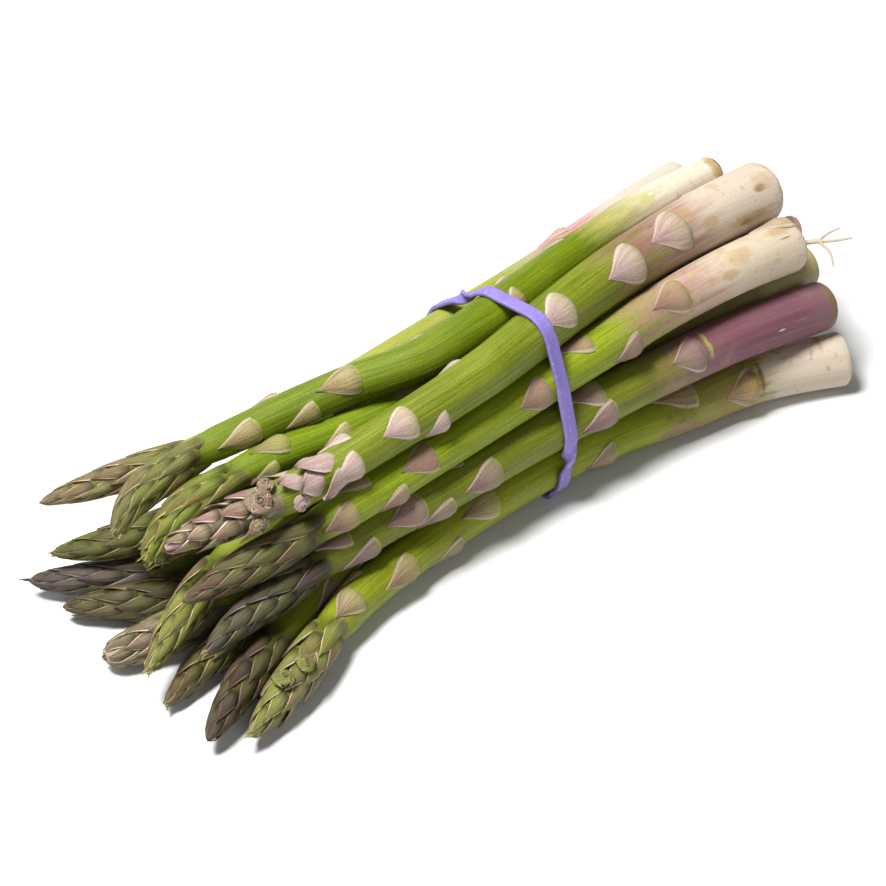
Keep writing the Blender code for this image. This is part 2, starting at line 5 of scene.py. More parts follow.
import bmesh
import bpy
import numpy as np
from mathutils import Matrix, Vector


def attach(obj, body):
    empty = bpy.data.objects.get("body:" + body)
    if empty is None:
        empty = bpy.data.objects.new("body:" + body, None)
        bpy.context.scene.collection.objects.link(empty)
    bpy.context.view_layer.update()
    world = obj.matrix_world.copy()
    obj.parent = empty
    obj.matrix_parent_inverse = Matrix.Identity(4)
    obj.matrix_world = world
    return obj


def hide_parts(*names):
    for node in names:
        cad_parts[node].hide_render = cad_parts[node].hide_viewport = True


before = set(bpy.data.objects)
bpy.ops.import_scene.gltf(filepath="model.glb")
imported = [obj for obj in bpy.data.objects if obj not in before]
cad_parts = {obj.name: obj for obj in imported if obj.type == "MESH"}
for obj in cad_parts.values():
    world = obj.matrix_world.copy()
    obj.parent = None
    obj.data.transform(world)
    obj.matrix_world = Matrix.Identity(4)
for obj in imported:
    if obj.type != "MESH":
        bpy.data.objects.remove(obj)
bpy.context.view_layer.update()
mm = 0.001
random = np.random.default_rng(7)

shot = {"azimuth": -45.0, "elevation": 39.0, "distance": 0.8, "target": (-0.022, 0.0, 0.020), "lens": 119.3}


def placeCamera():
    around = math.radians(shot["azimuth"])
    up = math.radians(shot["elevation"])
    back = Vector((math.sin(around) * math.cos(up), -math.cos(around) * math.cos(up), math.sin(up)))
    data = bpy.data.cameras.new("camera")
    data.lens = shot["lens"]
    data.sensor_width = 36
    data.clip_start = 0.01
    camera = bpy.data.objects.new("camera", data)
    camera.location = Vector(shot["target"]) + shot["distance"] * back
    camera.rotation_euler = back.to_track_quat("Z", "Y").to_euler()
    bpy.context.scene.collection.objects.link(camera)
    bpy.context.scene.camera = camera


placeCamera()
print("camera placed")

# Each spear. path: middle line from butt to tip. radii: at the butt, at the band, at the neck and of the head.
# bracts: reach of the base from the tip, angle from the upper side, length. give: how readily it is pushed.
# turn: angle of the first scale. flare: how far the head's scales stand out. blunt: 0 for a pointed head.
# scaled: where the compact part of an opened head ends. plainSpear: what a spear has that doesn't say otherwise.
spears = {
    "spear_01": {
        "path": [(101, 24, 38), (69, 23, 38), (40, 20, 38), (0, 18, 38), (-45, 23, 34), (-87, 36, 31),
                 (-120, 52, 26)],
        "radii": (4.6, 4.6, 3.9, 4.3), "head": 42, "give": 0.5, "turn": 20,
        "bracts": [(52, -60, 12), (68, 60, 12), (90, -30, 12), (118, 140, 12), (150, -50, 13), (180, 60, 12)],
    },
    "spear_02": {
        "path": [(98, 9, 47), (71, 9, 49), (28, 5, 50), (-6, 2, 50), (-26, 4, 48), (-47, 13, 45), (-70, 20, 42),
                 (-99, 25, 39), (-110, 25, 36), (-118, 23, 31)],
        "radii": (5.4, 6.2, 4.5, 4.9), "head": 34, "give": 0.1, "turn": 200, "blunt": 0.25,
        "bracts": [(50, -64, 14), (60, 75, 12), (67, -98, 11), (81, -32, 14), (104, 100, 12), (132, -58, 8),
                   (160, 70, 12)],
    },
    "spear_03": {
        "path": [(100, -8, 47), (74, -7, 49), (48, -7, 50), (14, -9, 50.5), (-4, -11, 50), (-20, -12, 49),
                 (-48, -10, 46), (-83, -6, 42), (-117, 5, 37)],
        "radii": (9.2, 7.0, 5.2, 5.3), "head": 48, "scaled": 33, "give": 0.1, "turn": 75, "flare": 1.1,
        "bracts": [(56, -76, 10), (58, 55, 10), (75, -42, 12), (84, -116, 9), (98, 85, 12), (133, -36, 13),
                   (163, -45, 16), (183, -32, 16), (200, 100, 14)],
    },
    "spear_04": {
        "path": [(94, -24, 40), (74, -22, 42), (43, -19, 42), (13, -17.5, 40), (-16, -15, 36), (-44, -14, 34),
                 (-84, -10, 30), (-119, -4, 26)],
        "radii": (7.6, 6.0, 4.9, 5.2), "head": 44, "give": 0.15, "turn": 310,
        "bracts": [(52, -70, 12), (60, 30, 12), (68, -114, 11), (79, -36, 12), (100, 120, 12), (119, -62, 12),
                   (137, 8, 11), (151, -104, 11), (171, -34, 14), (216, 40, 14)],
    },
    "spear_05": {
        "path": [(108, -15, 37), (50, -2, 37), (0, 0, 37), (-26, 5, 37), (-51, 9, 37), (-87, 15, 37),
                 (-102, 16, 34), (-110, 16, 30), (-116, 15, 26)],
        "radii": (4.0, 5.2, 4.4, 5.0), "head": 36, "give": 0.3, "turn": 130, "blunt": 0.25,
        "bracts": [(46, -105, 10), (51, 0, 12), (60, 120, 12), (69, -70, 10), (95, -10, 12), (145, 90, 12)],
    },
    "spear_06": {
        "path": [(106, -23, 27), (80, -18, 26), (40, -12, 23), (0, -7, 21), (-45, -8, 16), (-75, -10, 8),
                 (-90, -14, 7), (-116, -23, 6.5), (-134, -30.5, 5.5)],
        "radii": (6.6, 5.8, 4.6, 5.0), "head": 42, "give": 0.4, "turn": 45, "blunt": 0.1,
        "bracts": [(52, 30, 12), (64, -80, 12), (77, -128, 12), (100, 80, 12), (155, -30, 12), (185, 110, 12)],
    },
    "spear_07": {
        "path": [(98.5, -34, 22), (67, -29, 25), (39, -24.5, 25), (6, -20, 24), (-32, -16, 22), (-72, -12, 20),
                 (-106, -12, 17.5), (-121, -14, 16)],
        "radii": (7.3, 6.4, 5.0, 5.2), "head": 44, "give": 0.15, "turn": 260,
        "bracts": [(52, 0, 11), (59, -110, 14), (75, -54, 14), (84, -118, 14), (92, 40, 12), (100, -77, 14),
                   (139, -8, 12), (141, -96, 14), (173, -42, 12)],
    },
    "spear_08": {
        "path": [(98, -44, 8), (74, -32, 8), (47, -26, 8), (19, -20, 9), (-18, -17, 9), (-48, -16.5, 8.5),
                 (-76, -19, 7.5), (-106, -29, 6.5), (-126, -35, 5.5)],
        "radii": (8.0, 6.0, 5.2, 5.5), "head": 44, "give": 0.1, "turn": 160, "flare": 0.3,
        "bracts": [(54, -20, 12), (62, 70, 12), (75, -70, 14), (93, -128, 14), (107, -40, 14), (120, 80, 12),
                   (150, -110, 12), (180, -8, 15), (200, -68, 13)],
    },
    "spear_09": {
        "path": [(92, 38, 16), (45, 30, 20), (0, 26, 22), (-45, 30, 22), (-85, 27, 19), (-103, 32, 17),
                 (-123, 45, 14.5)],
        "radii": (6.0, 5.6, 4.6, 4.8), "head": 40, "turn": 80, "blunt": 0.05,
    },
    "spear_10": {
        "path": [(88, 34, 7), (45, 26, 8), (0, 20, 9.5), (-45, 24, 9), (-85, 22, 7.5), (-106, 30, 6.5),
                 (-128, 49, 5.5)],
        "radii": (6.4, 5.8, 4.5, 4.7), "head": 40, "turn": 220, "blunt": 0.2,
    },
    "spear_11": {
        "path": [(94, 14, 7.5), (45, 9, 8), (0, 7, 8), (-45, 10, 8), (-80, 10, 8), (-102, 14, 7), (-114, 22, 6),
                 (-128, 34, 5.5)],
        "radii": (7.0, 6.0, 4.8, 5.1), "head": 42, "turn": 350, "blunt": 0.25,
    },
    "spear_12": {
        "path": [(88, 20, 20), (45, 13, 20), (0, 6, 21), (-45, 4, 16), (-85, 2, 10), (-108, 3, 8), (-122, 7, 6.5),
                 (-133, 10.5, 6)],
        "radii": (6.0, 5.4, 4.9, 5.5), "head": 34, "turn": 110, "blunt": 0.5,
    },
    "spear_13": {
        "path": [(84, 2, 30), (45, 6, 26), (0, 16, 26), (-45, 10, 22), (-85, 5, 16), (-102, 3, 14),
                 (-118, -1, 11), (-132, -6, 8)],
        "radii": (6.0, 5.0, 4.3, 4.7), "head": 40, "give": 0.7, "turn": 290, "blunt": 0.2,
    },
    "spear_14": {
        "path": [(96, -12, 7.5), (45, -9, 8), (0, -6, 8), (-45, -2, 8), (-75, 0, 8), (-100, -3, 7.5),
                 (-116, -5, 6.5), (-132, -9, 5.5)],
        "radii": (6.4, 5.4, 4.4, 4.7), "head": 40, "give": 0.7, "turn": 30, "blunt": 0.1,
    },
    "spear_15": {
        "path": [(90, 12, 33), (45, 12, 34), (0, 12, 34), (-45, 14, 28), (-80, 12, 25), (-91, 12, 23),
                 (-108, 17, 16)],
        "radii": (5.4, 4.8, 4.0, 4.4), "head": 34, "turn": 180, "blunt": 0.1,
    },
}
plainSpear = {"give": 1, "flare": 0.0, "blunt": 0.0}
spears = {name: {**plainSpear, **spear} for name, spear in spears.items()}

# How the spears are pushed apart: gap is left between two of them, bandLift raises them over the band.
packing = {"stations": 81, "rounds": 180, "push": 0.6, "gap": 0.7, "bandLift": 1.7, "liftReach": 22.0,
           "flatZ": 0.02}
# How a scale gives way to its neighbours: who counts as near, and the gaps it keeps to them and under the band
giving = {"rounds": 3, "near": 6, "window": 14, "far": 99.0, "gap": 0.3, "besideBand": 1.2}
headOutline = {"steps": (0.0, 0.05, 0.15, 0.3, 0.5, 0.75), "shares": (0.12, 0.28, 0.52, 0.78, 0.97, 1.0),
               "core": 0.84, "blend": 4.0}


def lengthsAlong(points):
    return np.concatenate([[0.0], np.cumsum(np.linalg.norm(np.diff(points, axis=0), axis=1))])


def sample(wanted, along, values):
    return np.stack([np.interp(wanted, along, column) for column in values.T], axis=-1)


def unit(vectors):
    return vectors / np.linalg.norm(vectors, axis=-1, keepdims=True)


def smoothLine(path, count):
    p = np.asarray(path, float)
    along = lengthsAlong(p)
    step = np.diff(along)
    slope = np.diff(p, axis=0) / step[:, None]
    m = np.empty_like(p)
    m[1:-1] = (slope[:-1] * step[1:, None] + slope[1:] * step[:-1, None]) / (step[:-1] + step[1:])[:, None]
    m[0] = 1.5 * slope[0] - 0.5 * m[1]
    m[-1] = 1.5 * slope[-1] - 0.5 * m[-2]
    place = np.linspace(0, along[-1], count * 4)
    k = np.clip(np.searchsorted(along, place, side="right") - 1, 0, len(step) - 1)
    x = ((place - along[k]) / step[k])[:, None]
    span = step[k][:, None]
    points = (2 * x**3 - 3 * x**2 + 1) * p[k] + (x**3 - 2 * x**2 + x) * span * m[k]
    points += (3 * x**2 - 2 * x**3) * p[k + 1] + (x**3 - x**2) * span * m[k + 1]
    along = lengthsAlong(points)
    return sample(np.linspace(0, along[-1], count), along, points)


def outlineRadius(points, spear):
    # outer radius along the spear, the scales of its head taken in
    butt, waist, neck, head = spear["radii"]
    along = lengthsAlong(points)
    left = along[-1] - along
    band = along[np.argmin(np.abs(points[:, 0]))]
    stem = np.interp(along, [0, band, along[-1] - spear["head"]], [butt, waist, neck])
    shares = tuple(share ** (1 - spear["blunt"]) for share in headOutline["shares"]) + (neck / head,)
    tip = head * np.interp(left / spear["head"], headOutline["steps"] + (1.0,), shares)
    return np.where(left < spear["head"], tip, stem)


def floorHeight(points, radius):
    near = np.clip(np.abs(points[..., 0]) / packing["liftReach"], 0, 1)
    return radius + packing["flatZ"] + packing["bandLift"] * np.cos(near * math.pi / 2) ** 2


def pushApart(first, second, needApart):
    between = first[:, None] - second[None]
    distance = np.linalg.norm(between, axis=2)
    short = needApart - distance
    if (short <= 0).all():
        return 0.0, 0.0
    push = between / distance[..., None] * np.clip(short, 0, None)[..., None]
    stations = np.arange(len(first))
    return push[stations, short.argmax(axis=1)], -push[short.argmax(axis=0), stations]


def settle():
    # the spears' middle lines pushed apart until they lie against each other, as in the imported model
    names = list(spears)
    start = np.stack([smoothLine(spears[name]["path"], packing["stations"]) for name in names])
    radius = np.stack([outlineRadius(start[i], spears[name]) for i, name in enumerate(names)])
    give = np.array([spears[name]["give"] for name in names])
    moved = np.zeros_like(start)
    for _ in range(packing["rounds"]):
        now = start + moved
        push = np.zeros_like(now)
        for i in range(len(names)):
            for j in range(i + 1, len(names)):
                apart = radius[i][:, None] + radius[j][None] + packing["gap"]
                first, second = pushApart(now[i], now[j], apart)
                push[i] += first * give[i] / (give[i] + give[j])
                push[j] += second * give[j] / (give[i] + give[j])
        push[..., 2] += np.clip(floorHeight(now, radius) - now[..., 2], 0, None)
        moved += packing["push"] * push
        for _ in range(2):
            moved[:, 1:-1] = (moved[:, :-2] + 2 * moved[:, 1:-1] + moved[:, 2:]) / 4
            moved[:, 0] = (moved[:, 0] + moved[:, 1]) / 2
            moved[:, -1] = (moved[:, -1] + moved[:, -2]) / 2
    placed = start + moved
    placed[..., 2] = np.maximum(placed[..., 2], floorHeight(placed, radius))
    return {name: lineFrame(placed[i], spears[name]) for i, name in enumerate(names)}


def lineFrame(points, spear):
    ahead = unit(np.gradient(points, axis=0))
    upper = unit(np.array([0.0, 0.0, 1.0]) - ahead * ahead[:, 2:])
    along = lengthsAlong(points)
    order = slice(None, None, -1)
    return {"points": points[order], "upper": upper[order], "side": np.cross(ahead, upper)[order],
            "reach": (along[-1] - along)[order], "radius": outlineRadius(points, spear)[order],
            "head": spear.get("scaled", spear["head"])}


def read(line, key, reach):
    values = line[key]
    return np.interp(reach, line["reach"], values) if values.ndim == 1 else sample(reach, line["reach"], values)


def spot(line, reach, angle, radius):
    reach, angle, radius = np.broadcast_arrays(reach, angle, radius)
    out = np.cos(angle)[..., None] * read(line, "upper", reach)
    out = out + np.sin(angle)[..., None] * read(line, "side", reach)
    return read(line, "points", reach) + out * radius[..., None]


def coreRadius(line, reach):
    blend = headOutline["blend"]
    share = np.interp(reach, [line["head"] - blend, line["head"] + blend], [headOutline["core"], 1.0])
    return share * read(line, "radius", reach)


def clearance(line, points):
    # distance of each point from a spear's outline, measured from the stations near it
    along = line["points"][:, 0]
    window = giving["window"]
    near = np.flatnonzero((along > points[:, 0].min() - window) & (along < points[:, 0].max() + window))
    if len(near) < 2:
        return np.full(len(points), giving["far"])
    near = slice(near[0], near[-1] + 1)
    start = line["points"][near][:-1]
    step = np.diff(line["points"][near], axis=0)
    share = ((points[:, None] - start[None]) * step).sum(2) / (step**2).sum(1)
    share = np.clip(share, 0, 1)
    foot = start[None] + share[..., None] * step
    distance = np.linalg.norm(points[:, None] - foot, axis=2)
    radius = line["radius"][near][:-1] + share * np.diff(line["radius"][near])
    return (distance - radius).min(axis=1)


def pressed(lines, name, points, middle):
    # a scale's points stay on their own side of every neighbour, above the surface and inside the band
    points = points.copy()
    near = [other for other in lines if other != name and clearance(lines[other], points).min() < giving["near"]]
    for _ in range(giving["rounds"]):
        own = clearance(lines[name], points)
        other = np.full(len(points), giving["far"])
        for neighbour in near:
            other = np.minimum(other, clearance(lines[neighbour], points))
        beside = np.abs(points[:, 0]) < bandShape["width"] / 2 + giving["besideBand"]
        allowed = np.minimum((own + other - giving["gap"]) / 2, np.where(beside, 0.0, giving["far"]))
        points += unit(middle - points) * np.clip(own - allowed, 0, None)[:, None]
    points[:, 2] = np.maximum(points[:, 2], packing["flatZ"])
    return points


# Colours, and the reach from the tip where they change. fade: where the butt's colour starts and is full.
# flush: the colour, first and last reach and strength of a pink or purple patch. bud: a scale's plump base.
# scale: its flanks and point. tips: its thin margin. hiddenLook: what a spear has that doesn't say otherwise.
hiddenLook = {"stem": (0.19, 0.25, 0.008), "butt": (0.66, 0.56, 0.4), "fade": (170, 200),
              "flush": ((0.4, 0.2, 0.2), 180, 200, 0.3), "stain": 0.4}
looks = {
    "spear_01": {"stem": (0.27, 0.3, 0.035), "pale": (0.52, 0.52, 0.132), "butt": (0.6, 0.53, 0.43),
                 "fade": (146, 180), "flush": ((0.5, 0.16, 0.2), 165, 190, 0.8), "bract": (0.36, 0.25, 0.15),
                 "bud": (0.19, 0.18, 0.04), "scale": (0.23, 0.15, 0.085), "tips": (0.5, 0.38, 0.26),
                 "stain": 0.25},
    "spear_02": {"stem": (0.1, 0.155, 0.001), "pale": (0.32, 0.38, 0.018), "butt": (0.7, 0.62, 0.49),
                 "fade": (158, 200), "flush": ((0.42, 0.42, 0.06), 168, 188, 0.6), "bract": (0.3, 0.24, 0.09),
                 "bud": (0.15, 0.17, 0.02), "scale": (0.17, 0.12, 0.05), "tips": (0.46, 0.41, 0.2), "stain": 0.5},
    "spear_03": {"stem": (0.115, 0.155, 0.002), "pale": (0.38, 0.42, 0.048), "butt": (0.6, 0.5, 0.4),
                 "fade": (158, 196), "flush": ((0.33, 0.13, 0.14), 154, 188, 0.7), "bract": (0.44, 0.33, 0.28),
                 "bud": (0.27, 0.21, 0.2), "scale": (0.32, 0.14, 0.15), "tips": (0.64, 0.5, 0.45), "stain": 0.7},
    "spear_04": {"stem": (0.175, 0.24, 0.001), "pale": (0.5, 0.56, 0.042), "butt": (0.6, 0.505, 0.38),
                 "fade": (150, 182), "flush": ((0.4, 0.2, 0.19), 150, 180, 0.75), "bract": (0.3, 0.2, 0.13),
                 "bud": (0.1, 0.105, 0.012), "scale": (0.11, 0.066, 0.04), "tips": (0.3, 0.2, 0.15), "stain": 0.9},
    "spear_05": {"stem": (0.11, 0.18, 0.001), "pale": (0.36, 0.43, 0.024), "butt": (0.62, 0.45, 0.32),
                 "fade": (190, 215), "flush": ((0.42, 0.22, 0.2), 212, 226, 0.5), "bract": (0.27, 0.24, 0.08),
                 "bud": (0.16, 0.21, 0.01), "scale": (0.2, 0.16, 0.04), "tips": (0.44, 0.42, 0.13)},
    "spear_06": {"stem": (0.12, 0.15, 0.005), "pale": (0.28, 0.3, 0.024), "butt": (0.42, 0.36, 0.17),
                 "fade": (190, 235), "flush": ((0.16, 0.1, 0.05), 190, 215, 0.5), "bract": (0.18, 0.13, 0.08),
                 "bud": (0.085, 0.08, 0.018), "scale": (0.055, 0.034, 0.028), "tips": (0.2, 0.13, 0.11)},
    "spear_07": {"stem": (0.13, 0.155, 0.004), "pale": (0.32, 0.34, 0.042), "butt": (0.21, 0.105, 0.125),
                 "fade": (146, 176), "flush": ((0.17, 0.055, 0.075), 180, 210, 0.8), "bract": (0.28, 0.185, 0.15),
                 "bud": (0.085, 0.09, 0.018), "scale": (0.068, 0.046, 0.042), "tips": (0.25, 0.19, 0.19)},
    "spear_08": {"stem": (0.19, 0.23, 0.002), "pale": (0.44, 0.46, 0.042), "butt": (0.54, 0.46, 0.36),
                 "fade": (196, 208), "flush": ((0.3, 0.17, 0.1), 176, 200, 0.6), "bract": (0.27, 0.2, 0.1),
                 "bud": (0.22, 0.24, 0.02), "scale": (0.2, 0.14, 0.07), "tips": (0.48, 0.4, 0.25), "stain": 1.0},
    "spear_09": {"pale": (0.34, 0.38, 0.03), "butt": (0.66, 0.56, 0.38), "bract": (0.26, 0.2, 0.1),
                 "bud": (0.105, 0.12, 0.01), "scale": (0.09, 0.065, 0.02), "tips": (0.27, 0.24, 0.08)},
    "spear_10": {"stem": (0.16, 0.19, 0.01), "pale": (0.32, 0.34, 0.042), "butt": (0.6, 0.48, 0.36),
                 "flush": ((0.3, 0.12, 0.14), 180, 200, 0.4), "bract": (0.2, 0.13, 0.12),
                 "bud": (0.072, 0.068, 0.02), "scale": (0.08, 0.046, 0.055), "tips": (0.22, 0.15, 0.17)},
    "spear_11": {"stem": (0.16, 0.2, 0.01), "pale": (0.3, 0.32, 0.03), "butt": (0.62, 0.52, 0.36),
                 "flush": ((0.3, 0.14, 0.12), 180, 200, 0.4), "bract": (0.2, 0.14, 0.08),
                 "bud": (0.088, 0.085, 0.014), "scale": (0.08, 0.052, 0.024), "tips": (0.24, 0.17, 0.1)},
    "spear_12": {"stem": (0.19, 0.25, 0.01), "pale": (0.34, 0.37, 0.042), "bract": (0.28, 0.21, 0.11),
                 "bud": (0.13, 0.12, 0.022), "scale": (0.16, 0.11, 0.055), "tips": (0.62, 0.5, 0.4)},
    "spear_13": {"pale": (0.38, 0.42, 0.036), "fade": (165, 195), "bract": (0.28, 0.22, 0.1),
                 "bud": (0.2, 0.22, 0.02), "scale": (0.19, 0.125, 0.055), "tips": (0.48, 0.4, 0.22)},
    "spear_14": {"pale": (0.36, 0.4, 0.036), "bract": (0.24, 0.18, 0.08), "bud": (0.12, 0.125, 0.015),
                 "scale": (0.11, 0.072, 0.035), "tips": (0.34, 0.26, 0.15)},
    "spear_15": {"stem": (0.19, 0.26, 0.008), "pale": (0.36, 0.4, 0.036), "fade": (165, 195),
                 "bract": (0.26, 0.21, 0.08), "bud": (0.14, 0.15, 0.018), "scale": (0.13, 0.095, 0.04),
                 "tips": (0.42, 0.35, 0.16)},
}

# Stains, cracks and other marks: reach, angle from the upper side, half length, half width in degrees, the
# colour's name in finish, and strength
marks = {
    "spear_01": [(170, -32, 8, 50, "pink", 0.8), (177, -22, 2.5, 22, "green", 0.7)],
    "spear_02": [(191, -20, 3.6, 26, "green", 0.5), (193, -16, 1.2, 8, "white", 0.6),
                 (221, -30, 3.5, 70, "stain", 0.8), (222, -20, 1.2, 22, "brown", 0.8),
                 (183, -35, 3.0, 14, "stain", 0.4)],
    "spear_03": [(212, -38, 2.6, 9, "brown", 0.75), (214, -28, 4.5, 22, "stain", 0.4),
                 (190, -58, 3.6, 15, "stain", 0.5), (205, -84, 8, 14, "stain", 0.65),
                 (204, -88, 3, 7, "brown", 0.5), (157, 12, 4.6, 9, "olive", 0.75),
                 (167, 12, 3.8, 8, "olive", 0.8), (134, -76, 5, 12, "olive", 0.75),
                 (172, 2, 1.4, 6, "brown", 0.7), (149, 8, 6, 8, "olive", 0.35)],
    "spear_04": [(191, -22, 5.5, 24, "stain", 0.5), (185, -52, 3.6, 13, "stain", 0.6),
                 (195, -47, 2.2, 2.6, "brown", 0.75), (191.5, -56, 2.2, 2.2, "brown", 0.7),
                 (188, -66, 2.2, 2.4, "brown", 0.6), (208, -28, 2.2, 4, "brown", 0.95),
                 (208, -4, 5.5, 16, "stain", 0.6), (170, -64, 1.6, 7, "stain", 0.8), (169, 2, 2, 8, "green", 0.8),
                 (175, -8, 1.4, 7, "green", 0.7), (167, -88, 4, 10, "stain", 0.5), (202, -70, 3, 8, "stain", 0.3)],
    "spear_05": [(226, -26, 4, 60, "pink", 0.3)],
    "spear_06": [(218, -62, 9, 30, "brown", 0.5), (200, -60, 5, 20, "olive", 0.5)],
    "spear_07": [(199.5, -72, 1.7, 5, "white", 0.6), (190.5, -94, 1.2, 5, "brown", 0.8),
                 (220, -48, 2.6, 60, "olive", 0.55), (174.5, -34, 0.8, 46, "green", 0.5),
                 (174, -52, 1.2, 4, "brown", 0.7), (207, -66, 3, 4, "green", 0.35)],
    "spear_08": [(201, -52, 0.9, 46, "brown", 0.8), (198, -34, 2.4, 12, "brown", 0.6),
                 (196, -60, 4, 22, "stain", 0.55), (222, -2, 1.0, 26, "stain", 0.6),
                 (212, -24, 4, 8, "stain", 0.35), (173, -66, 6, 26, "olive", 0.55),
                 (172, -76, 1.6, 7, "brown", 0.75), (168, -58, 1.2, 6, "brown", 0.65),
                 (176, -58, 1.0, 5, "brown", 0.6), (172, -104, 9, 22, "mauve", 0.6),
                 (189, -54, 4, 16, "stain", 0.4)],
}

bandShape = {"width": 4.0, "thickness": 1.1, "clearance": 0.4, "stations": 160, "twistLength": 11.0,
             "underside": (0.8, 0.97), "twists": ((12.0, 49.0), (-25.5, 16.5)), "edge": 0.28,
             "routeSteps": 720}


# Shader helpers. A value is a socket or a number, a colour is a socket or three numbers.
def put(tree, socket, value):
    if isinstance(value, bpy.types.NodeSocket):
        tree.links.new(value, socket)
    elif socket.type == "RGBA":
        socket.default_value = (*value, 1.0)
    else:
        socket.default_value = value


def addNode(tree, kind, inputs=None, **settings):
    made = tree.nodes.new(kind)
    for key, value in settings.items():
        setattr(made, key, value)
    for key, value in (inputs or {}).items():
        put(tree, made.inputs[key], value)
    return made


def calc(tree, operation, first, second=0.0, third=0.0):
    return addNode(tree, "ShaderNodeMath", {0: first, 1: second, 2: third}, operation=operation).outputs[0]


def ramp(tree, value, low, high, first=0.0, last=1.0):
    inputs = {"Value": value, "From Min": low, "From Max": high, "To Min": first, "To Max": last}
    return addNode(tree, "ShaderNodeMapRange", inputs, interpolation_type="SMOOTHSTEP").outputs["Result"]


def tint(tree, under, over, *shares, kind="MIX"):
    # lays one colour over another; several shares are multiplied
    share = shares[0]
    for other in shares[1:]:
        share = calc(tree, "MULTIPLY", share, other)
    inputs = {0: share, 6: under, 7: over}
    return addNode(tree, "ShaderNodeMix", inputs, data_type="RGBA", blend_type=kind).outputs[2]


def noise(tree, place, scale, detail=3.0, rough=0.6):
    inputs = {"Vector": place, "Scale": scale, "Detail": detail, "Roughness": rough}
    return addNode(tree, "ShaderNodeTexNoise", inputs).outputs["Fac"]


def centred(tree, value):
    return calc(tree, "SUBTRACT", value, 0.5)


def vector(tree, x, y, z):
    return addNode(tree, "ShaderNodeCombineXYZ", {0: x, 1: y, 2: z}).outputs[0]


def stretch(tree, place, x, y, z):
    inputs = {0: place, 1: vector(tree, x, y, z)}
    return addNode(tree, "ShaderNodeVectorMath", inputs, operation="MULTIPLY").outputs[0]


def readValue(tree, name, output="Fac"):
    return addNode(tree, "ShaderNodeAttribute", attribute_name=name).outputs[output]


def newGroup(name, inputs, outputs):
    group = bpy.data.node_groups.new(name, "ShaderNodeTree")
    for label, value in inputs.items():
        kind = "NodeSocketFloat" if isinstance(value, float) else "NodeSocketVector"
        group.interface.new_socket(name=label, in_out="INPUT", socket_type=kind).default_value = value
    for label in outputs:
        group.interface.new_socket(name=label, in_out="OUTPUT", socket_type="NodeSocketFloat")
    return group, group.nodes.new("NodeGroupInput").outputs, group.nodes.new("NodeGroupOutput").inputs


def useGroup(tree, name, **inputs):
    return addNode(tree, "ShaderNodeGroup", inputs, node_tree=groups[name]).outputs


def newMaterial(name):
    made = bpy.data.materials.new(name)
    made.use_nodes = True
    return made, made.node_tree, made.node_tree.nodes["Principled BSDF"]


def makeFibres():
    # fine lines that run along a stalk or a scale
    inputs = {"Place": (0, 0, 0), "Around": 6.0, "Along": 0.05}
    group, given, out = newGroup("fibres", inputs, ["Lines", "Height"])
    place = stretch(group, given["Place"], given["Around"], given["Around"], given["Along"])
    coarse = noise(group, place, 1.0, 3.0, 0.55)
    fine = noise(group, place, 3.1, 2.0, 0.5)
    put(group, out["Lines"], ramp(group, coarse, 0.34, 0.68))
    put(group, out["Height"], calc(group, "MULTIPLY_ADD", fine, 0.6, coarse))
    return group


def makePatches():
    # ragged patches or small specks
    inputs = {"Place": (0, 0, 0), "Scale": 100.0, "Least": 0.55, "Full": 0.65}
    group, given, out = newGroup("patches", inputs, ["Mask"])
    cloud = noise(group, given["Place"], given["Scale"], 4.0, 0.55)
    put(group, out["Mask"], ramp(group, cloud, given["Least"], given["Full"]))
    return group


def makeFade():
    # a change of colour along the spear with an uneven border
    inputs = {"Reach": 0.0, "Place": (0, 0, 0), "First": 0.0, "Last": 1.0, "Ragged": 20.0}
    group, given, out = newGroup("raggedFade", inputs, ["Mask"])
    cloud = centred(group, noise(group, stretch(group, given["Place"], 3.0, 3.0, 0.06), 1.0, 4.0))
    moved = calc(group, "MULTIPLY_ADD", cloud, given["Ragged"], given["Reach"])
    put(group, out["Mask"], ramp(group, moved, given["First"], given["Last"]))
    return group


# A scale's marks: across it, along it or by how far it stands out, and where each mark starts and is full.
# The edge mark is a painted shadow line along a scale's rim, and the crease mark is painted shade where a scale
# lies low.
bladeMarks = {"Margin": ("across", 0.80, 0.88), "EdgeShadow": ("across", 0.92, 0.97), "Flank": ("across", 0.35, 1.0),
              "Base": ("along", 0.13, 0.07), "Point": ("along", 0.20, 0.90), "CreaseShade": ("proud", 0.88, 0.40)}


def makeBladeMarks():
    group, given, out = newGroup("bladeMarks", {"Blade": (0, 0, 0), "Chance": 0.0}, (*bladeMarks, "Lines"))
    across, along, proud = addNode(group, "ShaderNodeSeparateXYZ", {0: given["Blade"]}).outputs
    places = {"across": calc(group, "ABSOLUTE", across), "along": along, "proud": proud}
    for label, (part, least, full) in bladeMarks.items():
        put(group, out[label], ramp(group, places[part], least, full))
    place = stretch(group, vector(group, across, along, given["Chance"]), 11.0, 1.2, 37.0)
    put(group, out["Lines"], ramp(group, noise(group, place, 1.0), 0.35, 0.66))
    return group


